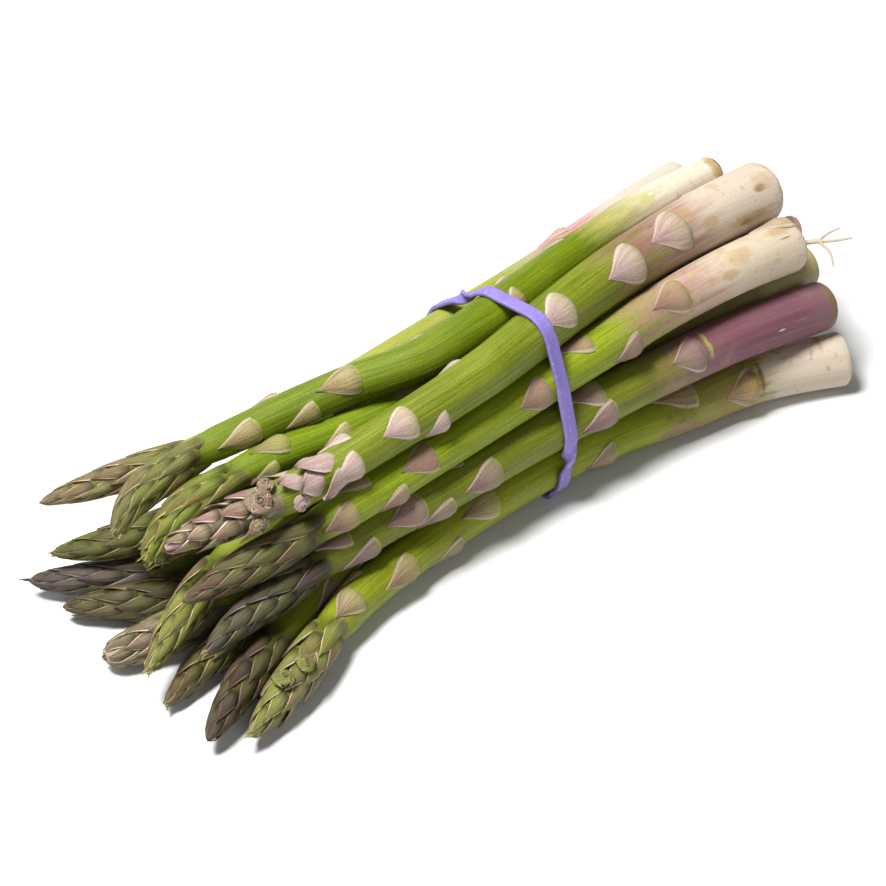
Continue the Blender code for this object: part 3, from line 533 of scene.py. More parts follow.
def makeSpotMark():
    # one ragged spot at a place on a spear
    inputs = {"Skin": (0, 0, 0), "Place": (0, 0, 0), "Reach": 0.0, "At": 0.0, "Way": (1, 0, 0), "Long": 1.0,
              "Wide": 1.0}
    group, given, out = newGroup("spotMark", inputs, ["Mask"])
    far = calc(group, "DIVIDE", calc(group, "SUBTRACT", given["Reach"], given["At"]), given["Long"])
    facing = addNode(group, "ShaderNodeVectorMath", {0: given["Skin"], 1: given["Way"]}, operation="DOT_PRODUCT")
    aside = calc(group, "DIVIDE", calc(group, "SUBTRACT", 1.0, facing.outputs["Value"]), given["Wide"])
    away = calc(group, "MULTIPLY_ADD", far, far, aside)
    away = calc(group, "MULTIPLY_ADD", centred(group, noise(group, given["Place"], 420.0)), 2.2, away)
    put(group, out["Mask"], ramp(group, away, 1.35, 0.15))
    return group


groups = {"fibres": makeFibres(), "patches": makePatches(), "fade": makeFade(), "blade": makeBladeMarks(),
          "spot": makeSpotMark()}

# Colours that all spears share. headDeepen and budDeepen: how much a head's colours are darkened.
finish = {"cut": (0.72, 0.62, 0.44), "cutDots": (0.50, 0.40, 0.22), "margin": (0.74, 0.66, 0.55),
          "baseRim": (0.40, 0.47, 0.09), "stain": (0.42, 0.26, 0.08), "brown": (0.16, 0.09, 0.03),
          "white": (0.82, 0.78, 0.76), "straw": (0.5, 0.46, 0.17), "olive": (0.2, 0.16, 0.035),
          "green": (0.44, 0.5, 0.05), "mauve": (0.28, 0.11, 0.13), "pink": (0.5, 0.17, 0.2),
          "headDeepen": (0.58, 0.52, 0.38), "budDeepen": (0.7, 0.78, 0.24)}
# Patches: scale of the noise, and where a patch starts and is full
patchSizes = {"cloud": (70.0, 0.35, 0.70), "pores": (1500.0, 0.66, 0.74), "tan": (85.0, 0.56, 0.68),
              "specks": (420.0, 0.60, 0.70), "dots": (900.0, 0.58, 0.64)}
# How strongly each layer of colour shows. The layers for the creases, the base of the head's scales and under the
# head are painted shade.
layers = {"fibres": 0.42, "cloud": 0.15, "deep": 0.22, "pores": 0.35, "buttFibres": 0.30, "tan": 0.55,
          "specks": 0.38, "leafLines": 0.34, "leafPores": 0.25, "bractFade": 0.65, "creaseShade": 0.9,
          "headShade": 0.74, "headRim": 0.42, "underHeadShade": 0.75}
surface = {"roughness": (0.4, 0.58), "specular": 0.3, "bump": 0.55, "bumpDepth": 0.00026, "subsurface": 0.04,
           "subsurfaceScale": 0.0015, "subsurfaceRadius": (1.0, 1.0, 0.35)}


def scaled(tone, *factors):
    factors = factors * 3 if len(factors) == 1 else factors
    return tuple(value * factor for value, factor in zip(tone, factors))


def halfway(first, second):
    return tuple(0.5 * (one + other) for one, other in zip(first, second))


def stalkColour(tree, look, place, skin, reach, fibres, masks):
    # green with fine lines, then the butt's own colour, a flush, and tan and brown stains
    first, last = look["fade"]
    flush, start, stop, strength = look["flush"]

    def fade(low, high, ragged):
        made = useGroup(tree, "fade", Reach=reach, Place=skin, First=float(low), Last=float(high), Ragged=ragged)
        return made["Mask"]

    deep = useGroup(tree, "fibres", Place=skin, Around=3.0, Along=0.02)["Lines"]
    stalk = tint(tree, look["stem"], look["pale"], fibres["Lines"], layers["fibres"])
    stalk = tint(tree, stalk, look["pale"], masks["cloud"], layers["cloud"])
    stalk = tint(tree, stalk, scaled(look["stem"], 0.6), deep, layers["deep"])
    stalk = tint(tree, stalk, look["pale"], masks["pores"], layers["pores"])
    butt = tint(tree, look["butt"], scaled(look["butt"], 1.12), fibres["Lines"], layers["buttFibres"])
    butt = tint(tree, butt, scaled(look["butt"], 0.8, 0.74, 0.62), deep, layers["deep"])
    pale = fade(first, last, 34.0)
    stalk = tint(tree, stalk, butt, pale)
    patch = calc(tree, "MULTIPLY", fade(start - 10, start + 6, 22.0),
                 calc(tree, "SUBTRACT", 1.0, fade(stop - 6, stop + 10, 22.0)))
    stalk = tint(tree, stalk, flush, patch, ramp(tree, deep, 0.1, 0.9, 0.45, 1.0), strength)
    low = ramp(tree, reach, first - 25.0, first + 15.0)
    for label, tone in (("tan", "stain"), ("specks", "brown")):
        stalk = tint(tree, stalk, finish[tone], masks[label], low, layers[label] * look["stain"])
    return stalk, pale


def bladeColour(tree, look, signs, bladeAlong, inHead, chance, masks, pale, stalk):
    # scales of the head: greener on the plump base, brown or mauve on the flanks and the point
    share = calc(tree, "MULTIPLY_ADD", signs["Point"], 0.75, calc(tree, "MULTIPLY", signs["Flank"], 0.45))
    for value, weight in ((signs["Lines"], 0.55), (chance, 1.0), (masks["cloud"], 0.4)):
        share = calc(tree, "MULTIPLY_ADD", centred(tree, value), weight, share)
    headBody = tint(tree, scaled(look["bud"], *finish["budDeepen"]), scaled(look["scale"], *finish["headDeepen"]),
                    ramp(tree, share, 0.0, 0.9))
    # bracts of the stem: veined, with more mauve towards the point, and as pale as the butt there
    share = calc(tree, "MULTIPLY_ADD", signs["Lines"], 0.22, ramp(tree, chance, 0.0, 1.0, 0.35, 0.85))
    share = calc(tree, "MULTIPLY_ADD", signs["Point"], 0.5, share)
    bract = tint(tree, halfway(look["bract"], look["pale"]), look["bract"], ramp(tree, share, 0.1, 0.9))
    share = calc(tree, "MULTIPLY_ADD", calc(tree, "SUBTRACT", 1.0, signs["Lines"]), 0.34,
                 calc(tree, "MULTIPLY", signs["Point"], 0.45))
    bract = tint(tree, bract, scaled(look["bract"], 0.7, 0.46, 0.58), ramp(tree, share, 0.1, 1.0))
    bract = tint(tree, bract, stalk, pale, layers["bractFade"])
    # on both: fine lines, a light rim at the base, a thin pale margin, a painted shadow line along the edge and
    # painted shade in the creases
    # the dark colour used for the painted shade and shadow lines
    shadeTone = scaled(look["scale"], 0.16)
    body = tint(tree, bract, headBody, inHead)
    body = tint(tree, body, look["tips"], signs["Lines"], layers["leafLines"])
    body = tint(tree, body, look["tips"], masks["pores"], layers["leafPores"])
    body = tint(tree, body, finish["baseRim"], signs["Base"], ramp(tree, inHead, 0.0, 1.0, 0.85, 0.0))
    edging = tint(tree, finish["margin"], scaled(look["tips"], 1.35, 1.33, 1.1), inHead)
    body = tint(tree, body, edging, signs["Margin"], ramp(tree, inHead, 0.0, 1.0, 0.4, 0.9))
    # painted shadow: a dark line along each scale's edge, stronger on the head than on the bracts
    body = tint(tree, body, shadeTone, signs["EdgeShadow"], ramp(tree, inHead, 0.0, 1.0, 0.2, 0.85))
    # painted shade in the creases, where a scale lies low over the core
    body = tint(tree, body, shadeTone, signs["CreaseShade"], layers["creaseShade"])
    # painted shade on the lower part of each head scale, where the neighbouring scales' tips overlap it
    body = tint(tree, body, shadeTone, ramp(tree, bladeAlong, 0.45, 0.17, 0.0, layers["headShade"]), inHead)
    return tint(tree, body, scaled(look["bud"], 1.9, 1.85, 1.0),
                ramp(tree, bladeAlong, 0.19, 0.11, 0.0, layers["headRim"]), inHead)


def spearMaterial(name, look, headReach):
    made, tree, shader = newMaterial(name.replace("spear_", "asparagus"))
    place = addNode(tree, "ShaderNodeTexCoord").outputs["Object"]
    skin, blade = readValue(tree, "skin", "Vector"), readValue(tree, "blade", "Vector")
    labels = ("reach", "chance", "leaf", "cut", "wisp")
    reach, chance, isLeaf, isCut, isWisp = (readValue(tree, label) for label in labels)
    masks = {label: useGroup(tree, "patches", Place=place, Scale=scale, Least=least, Full=full)["Mask"]
             for label, (scale, least, full) in patchSizes.items()}
    fibres = useGroup(tree, "fibres", Place=skin, Around=12.0, Along=0.045)
    stalk, pale = stalkColour(tree, look, place, skin, reach, fibres, masks)

    signs = useGroup(tree, "blade", Blade=blade, Chance=chance)
    bladeAlong = addNode(tree, "ShaderNodeSeparateXYZ", {0: blade}).outputs[1]
    inHead = ramp(tree, reach, headReach + 4.0, headReach - 6.0)
    body = bladeColour(tree, look, signs, bladeAlong, inHead, chance, masks, pale, stalk)

    # painted shade on the stalk between the head's scales, and the scales' own colour at the tip
    stalk = tint(tree, stalk, scaled(look["bud"], 0.3),
                 ramp(tree, reach, headReach + 1.0, headReach - 5.0, 0.0, layers["underHeadShade"]),
                 ramp(tree, reach, 2.0, 6.0, 0.3, 1.0))
    stalk = tint(tree, stalk, halfway(look["scale"], look["tips"]), ramp(tree, reach, 8.0, 5.0))
    whole = tint(tree, stalk, body, isLeaf)
    whole = tint(tree, whole, finish["straw"], isWisp)
    for at, turn, halfLength, halfWidth, tone, strength in marks.get(name, ()):
        way = math.radians(turn)
        wide = 1 - math.cos(math.radians(halfWidth))
        mask = useGroup(tree, "spot", Skin=skin, Place=place, Reach=reach, At=float(at), Long=float(halfLength),
                        Way=(math.cos(way), math.sin(way), 0.0), Wide=wide)["Mask"]
        whole = tint(tree, whole, finish[tone], mask, strength)
    grain = noise(tree, place, 1900.0, 2.0)
    light = ramp(tree, grain, 0.3, 0.7, ramp(tree, pale, 0.0, 1.0, 0.82, 0.96), 1.04)
    grey = addNode(tree, "ShaderNodeCombineColor", {0: light, 1: light, 2: light}).outputs[0]
    whole = tint(tree, whole, grey, 1.0, kind="MULTIPLY")
    whole = tint(tree, whole, tint(tree, finish["cut"], finish["cutDots"], masks["dots"]), isCut)
    put(tree, shader.inputs["Base Color"], whole)

    wax = ramp(tree, noise(tree, place, 160.0), 0.3, 0.75, *surface["roughness"])
    put(tree, shader.inputs["Roughness"], wax)
    height = calc(tree, "MULTIPLY_ADD", grain, 0.25, fibres["Height"])
    height = calc(tree, "MULTIPLY_ADD", calc(tree, "MULTIPLY", signs["Lines"], isLeaf), 0.5, height)
    finishShader(tree, shader, height, surface)
    return made


def finishShader(tree, shader, height, values):
    bump = {"Strength": values["bump"], "Distance": values["bumpDepth"], "Height": height}
    put(tree, shader.inputs["Normal"], addNode(tree, "ShaderNodeBump", bump).outputs[0])
    shader.inputs["Specular IOR Level"].default_value = values["specular"]
    shader.inputs["Subsurface Weight"].default_value = values["subsurface"]
    shader.inputs["Subsurface Radius"].default_value = values["subsurfaceRadius"]
    shader.inputs["Subsurface Scale"].default_value = values["subsurfaceScale"]


# Spears. Each is one mesh: a tube from a grid, and scales from thin closed grids.
stalkShape = {"top": 0.8, "around": 40, "stemStep": 1.9, "headStep": 3.0, "buttRound": 1.7, "ridge": 0.09,
              "nodeSwell": 0.22}
headShape = {"count": 31, "loose": 0.26, "turn": 137.5, "topScale": 6.0, "lengths": (9.5, 17.0), "spread": 1.12,
             "width": 0.7, "sunk": 0.82, "plump": 1.07, "roundBase": 0.12, "columns": 8, "rows": 10, "thick": 0.45,
             "outline": ((0, 0.2, 0.4, 0.6, 0.8, 0.93, 1), (1.0, 0.98, 0.82, 0.55, 0.26, 0.08, 0.0)),
             "closing": ((0.0, 0.5, 1.2, 2.2), (0.12, 0.5, 0.84, 1.0)),
             "keel": ((0, 0.25, 0.6, 1.0), (0.9, 0.72, 0.3, 0.12)),
             "profile": ((0, 0.05, 0.12, 0.25, 0.5, 0.8, 1.0), (0.0, 0.5, 0.8, 0.95, 0.98, 1.02, 0.95))}
bractShape = {"width": 0.86, "first": 10.0, "step": 15.0, "growth": 1.12, "length": 12.0, "last": 160.0,
              "columns": 8, "rows": 12, "rise": 1.45, "roundBase": 0.1,
              "outline": ((0, 0.1, 0.2, 0.35, 0.5, 0.65, 0.8, 0.92, 1),
                          (0.98, 1.0, 0.97, 0.86, 0.67, 0.44, 0.22, 0.08, 0)),
              "profile": ((0.0, 0.05, 0.12, 0.25, 0.6, 1.0), (-0.3, 0.5, 0.9, 1.0, 0.55, 0.25))}
# What the material reads at each point, and its columns in a piece's table
valueColumns = {"reach": 0, "chance": 1, "leaf": 2, "cut": 3, "wisp": 4,
                "skin": slice(5, 8), "blade": slice(8, 11)}


def startMesh():
    bm = bmesh.new()
    return {"bm": bm, "number": bm.verts.layers.int.new("number"), "tables": [], "count": 0}


def addGrid(piece, columns, rows):
    # a flat grid, with across from -1 to 1 and along from 0 to 1
    verts = bmesh.ops.create_grid(piece["bm"], x_segments=columns, y_segments=rows, size=1)["verts"]
    places = np.array([vert.co for vert in verts])
    return verts, places[:, 0], (places[:, 1] + 1) / 2


def place(piece, verts, points, **values):
    # moves the vertices, notes what the material reads at each, and joins those that meet
    points[:, 2] = np.maximum(points[:, 2], packing["flatZ"])
    table = np.zeros((len(verts), 11))
    for name, value in values.items():
        table[:, valueColumns[name]] = value
    for number, (vert, point) in enumerate(zip(verts, points * mm), piece["count"]):
        vert.co = point
        vert[piece["number"]] = number
    piece["tables"].append(table)
    piece["count"] += len(verts)
    bmesh.ops.remove_doubles(piece["bm"], verts=verts, dist=0.00001)


def skinPlace(angle, reach):
    return np.stack(np.broadcast_arrays(np.cos(angle), np.sin(angle), reach), axis=1)


def addSheet(piece, columns, rows):
    # two layers of a grid joined at the rim, outer layer first: across, along and which points are the outer ones
    low, across, along = addGrid(piece, columns, rows)
    faces = list(dict.fromkeys(face for vert in low for face in vert.link_faces))
    raised = bmesh.ops.extrude_face_region(piece["bm"], geom=faces, use_keep_orig=True)
    high = [item for item in raised["geom"] if isinstance(item, bmesh.types.BMVert)]
    places = np.array([vert.co for vert in high])
    u = np.concatenate([places[:, 0], across])
    v = np.concatenate([(places[:, 1] + 1) / 2, along])
    return high + low, u, v, np.arange(len(u)) < len(high)


def addStalk(piece, name, line):
    length = line["reach"][-1]
    head = line["head"]
    around = stalkShape["around"]
    rounding = stalkShape["buttRound"]
    upper = np.arange(stalkShape["top"], head, stalkShape["headStep"])
    lower = np.linspace(head, length - rounding, round((length - head) / stalkShape["stemStep"]))
    corner = np.linspace(0, math.pi / 2, 5)[1:]
    rounded = length - rounding + rounding * np.sin(corner)
    reach = np.concatenate([[stalkShape["top"]], upper, lower, rounded, [length] * 4])
    inset = np.concatenate([np.zeros(1 + len(upper) + len(lower)), rounding * (1 - np.cos(corner)), np.zeros(4)])
    radius = coreRadius(line, reach) - inset
    edge = radius[-5]
    radius[-4:] = edge * np.array([0.75, 0.5, 0.25, 0.0])
    radius[0] = 0.0
    verts, across, along = addGrid(piece, around, len(reach) - 1)
    row = np.round(along * (len(reach) - 1)).astype(int)
    angle = math.pi + math.pi * across     # the seam lies underneath
    far = reach[row]
    wave = random.uniform(0, 2 * math.pi, 4)
    ridges = 0.5 * np.sin(3 * angle + wave[0] + far * 0.012) + 0.35 * np.sin(7 * angle + wave[1] - far * 0.008)
    ridges += 0.3 * np.sin(11 * angle + wave[2] + far * 0.01)
    size = radius[row] + stalkShape["ridge"] * ridges * np.clip(radius[row] / edge, 0, 1)
    for base, turn, *_ in bractRows(spears[name], line):
        facing = np.clip(np.cos(angle - math.radians(turn)), 0, 1) ** 2
        size += stalkShape["nodeSwell"] * facing * np.exp(-(((far - base) / 5.0) ** 2))
    size = np.where(radius[row] == 0.0, 0.0, size)
    points = spot(line, far, angle, size)
    place(piece, verts, points, reach=far, skin=skinPlace(angle, far), cut=row >= len(reach) - 4)


def headSkin(line, reach, across, along, flare):
    outline = read(line, "radius", reach)
    core = headShape["sunk"] * coreRadius(line, reach)
    swell = np.interp(along, *headShape["profile"])
    keel = 1 - np.interp(along, *headShape["keel"]) * np.abs(across) ** 1.7
    return core + (outline * headShape["plump"] - core) * swell * keel + flare * along**1.5


def bractSkin(line, reach, across, along, flare):
    swell = bractShape["rise"] * np.interp(along, *bractShape["profile"])
    return read(line, "radius", reach) + swell * (1 - 0.75 * across**2) + flare * along**2


def addBlade(piece, lines, name, kind, row, chance):
    base, angle, length, halfWidth, flare, curl = row
    line = lines[name]
    shape, skinOf = (headShape, headSkin) if kind == "head" else (bractShape, bractSkin)
    verts, u, v, outer = addSheet(piece, shape["columns"], shape["rows"])
    reach = np.maximum(base - length * v - shape["roundBase"] * length * u**2 * (1 - v), 0.0)
    width = np.interp(v, *shape["outline"]) * halfWidth
    turn = math.radians(angle) + u * width / read(line, "radius", base - length / 3)
    radius = skinOf(line, reach, u, v, flare) + curl * u**2 * v
    proud = np.ones_like(u)
    if kind == "bract":
        radius = np.where(outer, radius, read(line, "radius", reach) - 0.5)
    else:
        core = headShape["sunk"] * coreRadius(line, reach)
        proud = np.clip((radius - core) / (read(line, "radius", reach) - core), 0, 1)
        radius = radius * np.interp(reach, *headShape["closing"])     # the scales close over the tip
    points = pressed(lines, name, spot(line, reach, turn, radius), read(line, "points", reach))
    if kind == "head":
        thick = headShape["thick"] * (1.15 - 0.75 * v)
        inward = read(line, "points", reach) - points
        inward /= np.maximum(np.linalg.norm(inward, axis=1), 0.001)[:, None]
        points += inward * np.where(outer, 0.0, thick)[:, None]
    # the third value, how far the scale stands out, sets the painted shade in its creases
    spots = np.stack([u, v, proud], axis=1)
    place(piece, verts, points, reach=reach, skin=skinPlace(turn, reach), blade=spots, chance=chance, leaf=1.0)


def headRows(spear):
    rows = []
    last = spear.get("scaled", spear["head"]) + 2
    size = last / (spear["head"] + 2)     # a head that has opened has fewer and shorter scales
    count = round(headShape["count"] * size)
    for k in range(count):
        share = k / (count - 1)
        base = headShape["topScale"] + (last - headShape["topScale"]) * share ** headShape["spread"]
        length = headShape["lengths"][0] + (headShape["lengths"][1] - headShape["lengths"][0]) * share
        width = headShape["width"] * spear["radii"][3] * min(1.0, 0.5 + share)
        wobble = random.uniform(-1, 1, 3)
        loose = (headShape["loose"] + spear["flare"]) * random.uniform(0.3, 1.5)
        rows.append((base + 0.6 * wobble[0], spear["turn"] + k * headShape["turn"] + 8 * wobble[1],
                     size * length * (1 + 0.10 * wobble[2]), width, loose, loose * random.uniform(-0.9, 0.7)))
    return rows


def hiddenBracts(spear, line):
    bracts = []
    base = spear["head"] + bractShape["first"]
    step = bractShape["step"]
    angle = spear["turn"] + 15 * headShape["turn"]
    while base < bractShape["last"]:
        ends = read(line, "points", np.array([base, base - bractShape["length"]]))[:, 0]
        if ends[0] < -bandShape["width"] or ends[1] > bandShape["width"]:
            bracts.append((base, angle, bractShape["length"]))
        base += step
        step *= bractShape["growth"]
        angle += headShape["turn"]
    return bracts


def bractRows(spear, line):
    bracts = spear.get("bracts") or hiddenBracts(spear, line)
    width = bractShape["width"]
    return [(base, angle, length, width * read(line, "radius", base), 0.0, 0.0) for base, angle, length in bracts]


def addTube(piece, points, radii, sides=8, **values):
    # a closed tapered tube through the points, for rootlets, buds and frayed ends
    points = np.asarray(points, float)
    along = lengthsAlong(points)
    count = 3 * (len(points) - 1)
    wanted = np.linspace(0, along[-1], count + 1)
    middle = smoothLine(points, count + 1)
    size = np.concatenate([[0.0], np.interp(wanted, along, radii), [0.0]])
    ahead = unit(np.gradient(middle, axis=0))
    sideways = unit(np.cross(ahead, (0.31, 0.22, 0.92)))
    other = np.cross(ahead, sideways)
    middle, sideways, other = (np.concatenate([rows[:1], rows, rows[-1:]]) for rows in (middle, sideways, other))
    verts, across, share = addGrid(piece, sides, len(middle) - 1)
    row = np.round(share * (len(middle) - 1)).astype(int)
    angle = math.pi * across
    out = np.cos(angle)[:, None] * sideways[row] + np.sin(angle)[:, None] * other[row]
    place(piece, verts, middle[row] + size[row][:, None] * out, skin=skinPlace(angle, share * 20), **values)


def finishMesh(bm, name, material, sharp=True):
    bmesh.ops.recalc_face_normals(bm, faces=bm.faces[:])
    mesh = bpy.data.meshes.new(name)
    bm.to_mesh(mesh)
    bm.free()
    mesh.materials.append(material)
    made = bpy.data.objects.new(name, mesh)
    bpy.context.scene.collection.objects.link(made)
    mesh.shade_smooth()
    if sharp:
        mesh.set_sharp_from_angle(angle=math.radians(50))
    return made


def writeValues(mesh, piece):
    # the tables become named values on the mesh
    table = np.concatenate(piece["tables"])
    number = np.zeros(len(mesh.vertices), np.int32)
    mesh.attributes["number"].data.foreach_get("value", number)
    mesh.attributes.remove(mesh.attributes["number"])
    for name, column in valueColumns.items():
        values = np.ascontiguousarray(table[number][:, column], np.float32)
        if values.ndim == 1:
            mesh.attributes.new(name, "FLOAT", "POINT").data.foreach_set("value", values)
        else:
            mesh.attributes.new(name, "FLOAT_VECTOR", "POINT").data.foreach_set("vector", values.ravel())


# Small things. rootlets: points and radii, at the butt of spear_04.
rootlets = (
    ([(91, -26, 41), (97, -28, 41.5), (102, -33, 42), (107, -36, 42)], (0.9, 0.8, 0.45, 0.3)),
    ([(99, -30, 41.7), (103, -30.5, 43), (106, -32, 44)], (0.5, 0.4, 0.25)),
    ([(99, -30, 41.7), (99.5, -34, 40), (98, -37, 37)], (0.5, 0.4, 0.3)),
)
# frays: how many, how long, how far back from the tip they start, and how straw-coloured they are
frays = {
    "spear_02": (8, 1.7, 2.5, 0.8), "spear_05": (20, 2.1, 6.5, 0.6), "spear_07": (9, 1.9, 3.5, 0.7),
    "spear_08": (7, 2.0, 3.0, 0.8), "spear_09": (6, 1.5, 3.0, 0.6), "spear_10": (2, 3.4, 0.8, 0.0),
    "spear_12": (3, 0.9, 2.0, 0.8), "spear_13": (13, 2.1, 4.0, 0.8), "spear_14": (5, 1.5, 3.0, 0.6),
    "spear_15": (12, 4.0, 8.0, 0.5),
}
frayRadii = (0.27, 0.22, 0.07)
# opened buds: reach, angle, radius, and how far they stand out
openBuds = {
    "spear_03": [(26, -32, 3.8, 2.0), (24, -86, 2.8, 1.2), (36, -80, 2.4, 0.9), (30, 2, 2.2, 1.0)],
    "spear_08": [(16.5, -4, 2.8, 1.2), (23.5, -24, 2.8, 1.0)],
}
budShape = {"rings": (5, 4, 3, 3), "shrink": 0.23, "columns": 4, "rows": 5, "overlap": 1.7, "thick": 0.24,
            "heart": (0.72, 0.66, 0.3), "apart": ((0, 0.45, 0.8, 1.0), (0.35, 1.0, 0.92, 0.68)),
            "rise": ((0, 0.45, 1.0), (-0.9, 0.3, 1.25)), "ringRise": (0.9, 0.25)}
# big loose scales: reach of the base, angle, length, half width, how far the point stands out, curl of the sides
looseScales = {
    "spear_03": [(51, -4, 13, 4.2, 2.0, 1.2), (45, -50, 9, 4.2, 2.0, 1.3), (53, -88, 12, 4.0, 1.8, 1.2),
                 (40, -18, 8, 3.2, 1.9, 1.2), (40, 60, 11, 3.6, 1.5, 1.0)],
    "spear_08": [(33, -60, 9, 3.6, 1.0, 0.6)],
    "spear_15": [(12, -60, 9, 3.0, 1.2, 0.8), (14, 20, 8, 3.0, 1.4, 0.9)],
}


def addFrays(piece, line, name):
    count, length, back, straw = frays[name]
    for _ in range(count):
        start = random.uniform(0.2, back)
        turn = random.uniform(0, 2 * math.pi)
        reach = np.array([start, start - 0.5 * length, start - length * random.uniform(0.75, 1.0)])
        own = read(line, "radius", max(start, 0.5))
        out = own * np.array([0.75, 1.0, random.uniform(0.7, 1.4)])
        tip = unit(line["points"][0] - line["points"][1])
        points = [spot(line, max(far, 0.0), turn + 0.2 * k, radius) + tip * max(-far, 0.0)
                  for k, (far, radius) in enumerate(zip(reach, out))]
        addTube(piece, points, frayRadii, 5, wisp=straw * random.uniform(0.3, 1.0), leaf=1.0,
                blade=(0.0, 0.4, 1.0), reach=2.0, chance=random.uniform())


def addOpenBud(piece, line, row):
    # rings of small petals that curl in over each other
    reach, angle, size, lift = row
    turn = math.radians(angle)
    own = read(line, "radius", reach)
    centre = spot(line, reach, turn, own * 0.95 + lift)
    axis = spot(line, reach, turn, own + 1.0) - spot(line, reach, turn, own)
    first = unit(np.cross(axis, (0.9, 0.1, 0.1)))
    second = np.cross(axis, first)
    heart = [centre - axis, centre + 0.7 * axis, centre + 1.5 * axis]
    addTube(piece, heart, scaled(budShape["heart"], size), 12, reach=reach, blade=(0.5, 0.5, 1.0), leaf=1.0)
    lowest, step = budShape["ringRise"]
    for ring, petals in enumerate(budShape["rings"]):
        for k in range(petals):
            wide = size * (1 - budShape["shrink"] * ring) * random.uniform(0.9, 1.12)
            middle = 2 * math.pi * (k + 0.4 * ring) / petals + random.uniform(-0.15, 0.15)
            verts, u, v, outer = addSheet(piece, budShape["columns"], budShape["rows"])
            spread = budShape["overlap"] * np.sqrt(np.clip(1 - 0.75 * v**2, 0, 1))
            around = middle + u * (math.pi / petals) * spread
            apart = wide * np.interp(v, *budShape["apart"]) - np.where(outer, 0.0, budShape["thick"])
            height = (lowest + step * ring) * np.interp(v, *budShape["rise"]) - 0.25 * u**2 * v
            height += random.uniform(-0.35, 0.35) * v
            points = centre + axis * height[:, None] + first * (apart * np.cos(around))[:, None]
            points += second * (apart * np.sin(around))[:, None]
            # the third value is low at a petal's base, where the material paints shade in the creases
            spots = np.stack([0.97 * u, 0.4 + 0.4 * v, np.clip(0.15 + 1.1 * v, 0, 1)], axis=1)
            place(piece, verts, points, reach=reach, blade=spots, chance=random.uniform(0.0, 0.3), leaf=1.0)


def makeSpear(name, lines):
    piece = startMesh()
    line = lines[name]
    addStalk(piece, name, line)
    for row in headRows(spears[name]):
        addBlade(piece, lines, name, "head", row, random.uniform())
    for row in bractRows(spears[name], line):
        addBlade(piece, lines, name, "bract", row, random.uniform())
    for row in looseScales.get(name, ()):
        addBlade(piece, lines, name, "head", row, random.uniform())
    if name in frays:
        addFrays(piece, line, name)
    for row in openBuds.get(name, ()):
        addOpenBud(piece, line, row)
    if name == "spear_04":
        for points, radii in rootlets:
            addTube(piece, points, radii, reach=230.0)
    material = spearMaterial(name, {**hiddenLook, **looks[name]}, line["head"])
    made = finishMesh(piece["bm"], name.replace("spear_", "asparagus_"), material)
    writeValues(made.data, piece)
    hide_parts(name)
    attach(made, "root")


lines = settle()
print("spears laid out")
for name in spears:
    makeSpear(name, lines)
print("spears modelled")


# Rubber band
bandLook = {"rubber": (0.215, 0.165, 0.48), "worn": (0.31, 0.255, 0.61), "speck": (0.55, 0.50, 0.85),
            "roughness": (0.5, 0.7), "specular": 0.4, "bump": 0.35, "bumpDepth": 0.0001, "subsurface": 0.08,
            "subsurfaceRadius": (0.6, 0.5, 1.0), "subsurfaceScale": 0.001}


def hullHeight(x, direction):
    # how far the bunch reaches in a direction at one place along it, and the point there
    best = -math.inf
    point = None
    for line in lines.values():
        along = line["points"][:, 0]
        middle = sample(x, along, line["points"][:, 1:])
        radius = np.interp(x, along, line["radius"])
        height = middle @ direction + radius
        if height > best:
            best = height
            point = middle + radius * direction
    return best, point


def smoothStep(share):
    share = np.clip(share, 0, 1)
    return share * share * (3 - 2 * share)


def undersideShare(way):
    # 1 where the band lies flat on the surface
    return smoothStep(np.interp(-way[1], bandShape["underside"], (0.0, 1.0)))


def bandRoute():
    outset = bandShape["clearance"] + bandShape["thickness"] / 2
    ways = []
    places = []
    for angle in np.linspace(0, 2 * math.pi, bandShape["routeSteps"], endpoint=False):
        way = np.array([math.cos(angle), math.sin(angle)])
        point = hullHeight(0.0, way)[1] + outset * way
        flat = undersideShare(way)
        point[1] = (1 - flat) * point[1] + flat * bandShape["thickness"] / 2
        ways.append(way)
        places.append(point)
    loop = np.array(places + places[:1])
    ways = np.array(ways + ways[:1])
    along = lengthsAlong(loop)
    wanted = np.linspace(0, along[-1], bandShape["stations"], endpoint=False)
    return sample(wanted, along, loop), unit(sample(wanted, along, ways)), wanted, along[-1]


def twistAt(along, total, place):
    # how far the band has turned about its own length, half a turn more after each twist
    turn = np.zeros(len(along))
    for target in bandShape["twists"]:
        centre = along[np.argmin(np.linalg.norm(place - np.array(target), axis=1))]
        offset = (along - centre + total / 2) % total - total / 2
        twisting = np.abs(offset) < bandShape["twistLength"] / 2
        turn += math.pi * np.where(twisting, smoothStep(offset / bandShape["twistLength"] + 0.5), along > centre)
    return turn


def bandMaterial():
    made, tree, shader = newMaterial("periwinkleRubber")
    place = addNode(tree, "ShaderNodeTexCoord").outputs["Object"]
    specks = useGroup(tree, "patches", Place=place, Scale=1100.0, Least=0.60, Full=0.68)["Mask"]
    dust = useGroup(tree, "patches", Place=place, Scale=120.0, Least=0.40, Full=0.75)["Mask"]
    base = tint(tree, bandLook["rubber"], bandLook["worn"], dust, 0.5)
    put(tree, shader.inputs["Base Color"], tint(tree, base, bandLook["speck"], specks, 0.45))
    put(tree, shader.inputs["Roughness"], ramp(tree, specks, 0.0, 1.0, *bandLook["roughness"]))
    finishShader(tree, shader, noise(tree, place, 1800.0), bandLook)
    return made


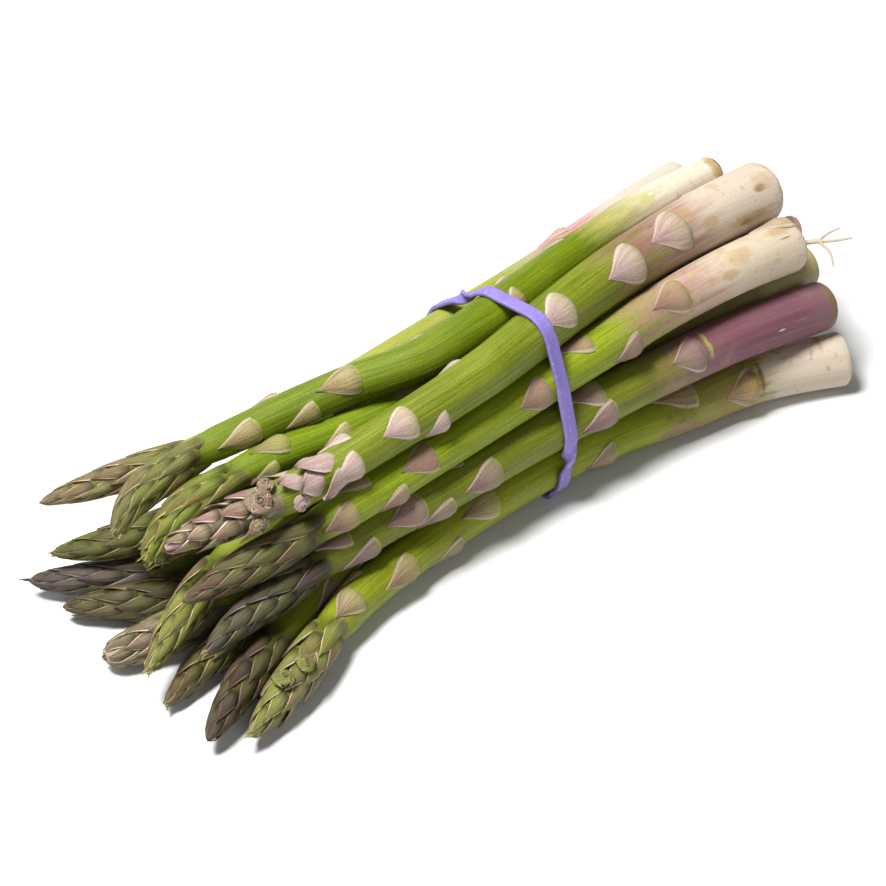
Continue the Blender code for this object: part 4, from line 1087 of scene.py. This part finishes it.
def makeBand():
    places, way, along, total = bandRoute()
    turn = twistAt(along, total, places)
    stations = bandShape["stations"]
    bm = bmesh.new()
    bmesh.ops.create_circle(bm, segments=stations, radius=1, cap_ends=False)
    ring = bm.edges[:]
    for strip in range(4):
        raised = bmesh.ops.extrude_edge_only(bm, edges=ring)
        ring = [item for item in raised["geom"] if isinstance(item, bmesh.types.BMEdge)
                and not any(abs(vert.co.z - strip) < 0.5 and vert not in raised["geom"] for vert in item.verts)]
        for vert in {vert for edge in ring for vert in edge.verts}:
            vert.co.z = strip + 1
    for vert in bm.verts:
        k = round(math.atan2(vert.co.y, vert.co.x) / (2 * math.pi) * stations) % stations
        flat = math.cos(turn[k])
        side = (vert.co.z / 2 - 1) * bandShape["width"] / 2
        out = hullHeight(side * flat, way[k])[0] - hullHeight(0.0, way[k])[0]
        out = out * abs(flat) + side * math.sin(turn[k])
        out *= 1 - undersideShare(way[k])
        across = places[k] + way[k] * out
        vert.co = (side * flat * mm, across[0] * mm, max(across[1], bandShape["thickness"] / 2) * mm)
    band = finishMesh(bm, "rubberBand", bandMaterial(), sharp=False)
    shell = band.modifiers.new("thickness", "SOLIDIFY")
    shell.thickness = bandShape["thickness"] * mm
    shell.offset = 0
    shell.use_even_offset = False
    soft = band.modifiers.new("edges", "BEVEL")
    soft.width = bandShape["edge"] * mm
    soft.segments = 2
    soft.limit_method = "ANGLE"
    soft.angle_limit = math.radians(50)
    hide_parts("rubber_band")
    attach(band, "root")


makeBand()
print("band modelled")

# Floor, world and lights
studio = {"floor": (0.74, 0.74, 0.74), "world": (1.0, 1.0, 1.0), "worldStrength": 0.06}
lamps = {
    "key": {"from": (-0.4, 0.14, 1.1), "size": 0.4, "power": 24.0},
    "fill": {"from": (-0.5, -0.9, 0.7), "size": 0.8, "power": 3.0},
    "back": {"from": (0.2, 0.95, 0.75), "size": 0.7, "power": 3.0},
}


def makeFloor():
    bm = bmesh.new()
    bmesh.ops.create_grid(bm, x_segments=1, y_segments=1, size=4.0)
    made, tree, shader = newMaterial("paleFloor")
    put(tree, shader.inputs["Base Color"], studio["floor"])
    shader.inputs["Roughness"].default_value = 0.8
    finishMesh(bm, "floor", made)


def lightStudio():
    world = bpy.data.worlds.new("studio")
    bpy.context.scene.world = world
    world.use_nodes = True
    back = world.node_tree.nodes["Background"]
    put(world.node_tree, back.inputs["Color"], studio["world"])
    back.inputs["Strength"].default_value = studio["worldStrength"]
    # keeps the floor near white and the greens deep
    bpy.context.scene.view_settings.view_transform = "Standard"
    for name, lamp in lamps.items():
        data = bpy.data.lights.new(name, "AREA")
        data.shape = "DISK"
        data.size = lamp["size"]
        data.energy = lamp["power"]
        light = bpy.data.objects.new(name, data)
        light.location = lamp["from"]
        light.rotation_euler = (Vector(lamp["from"]) - Vector((0, 0, 0.02))).to_track_quat("Z", "Y").to_euler()
        bpy.context.scene.collection.objects.link(light)


makeFloor()
lightStudio()
print("studio lit")
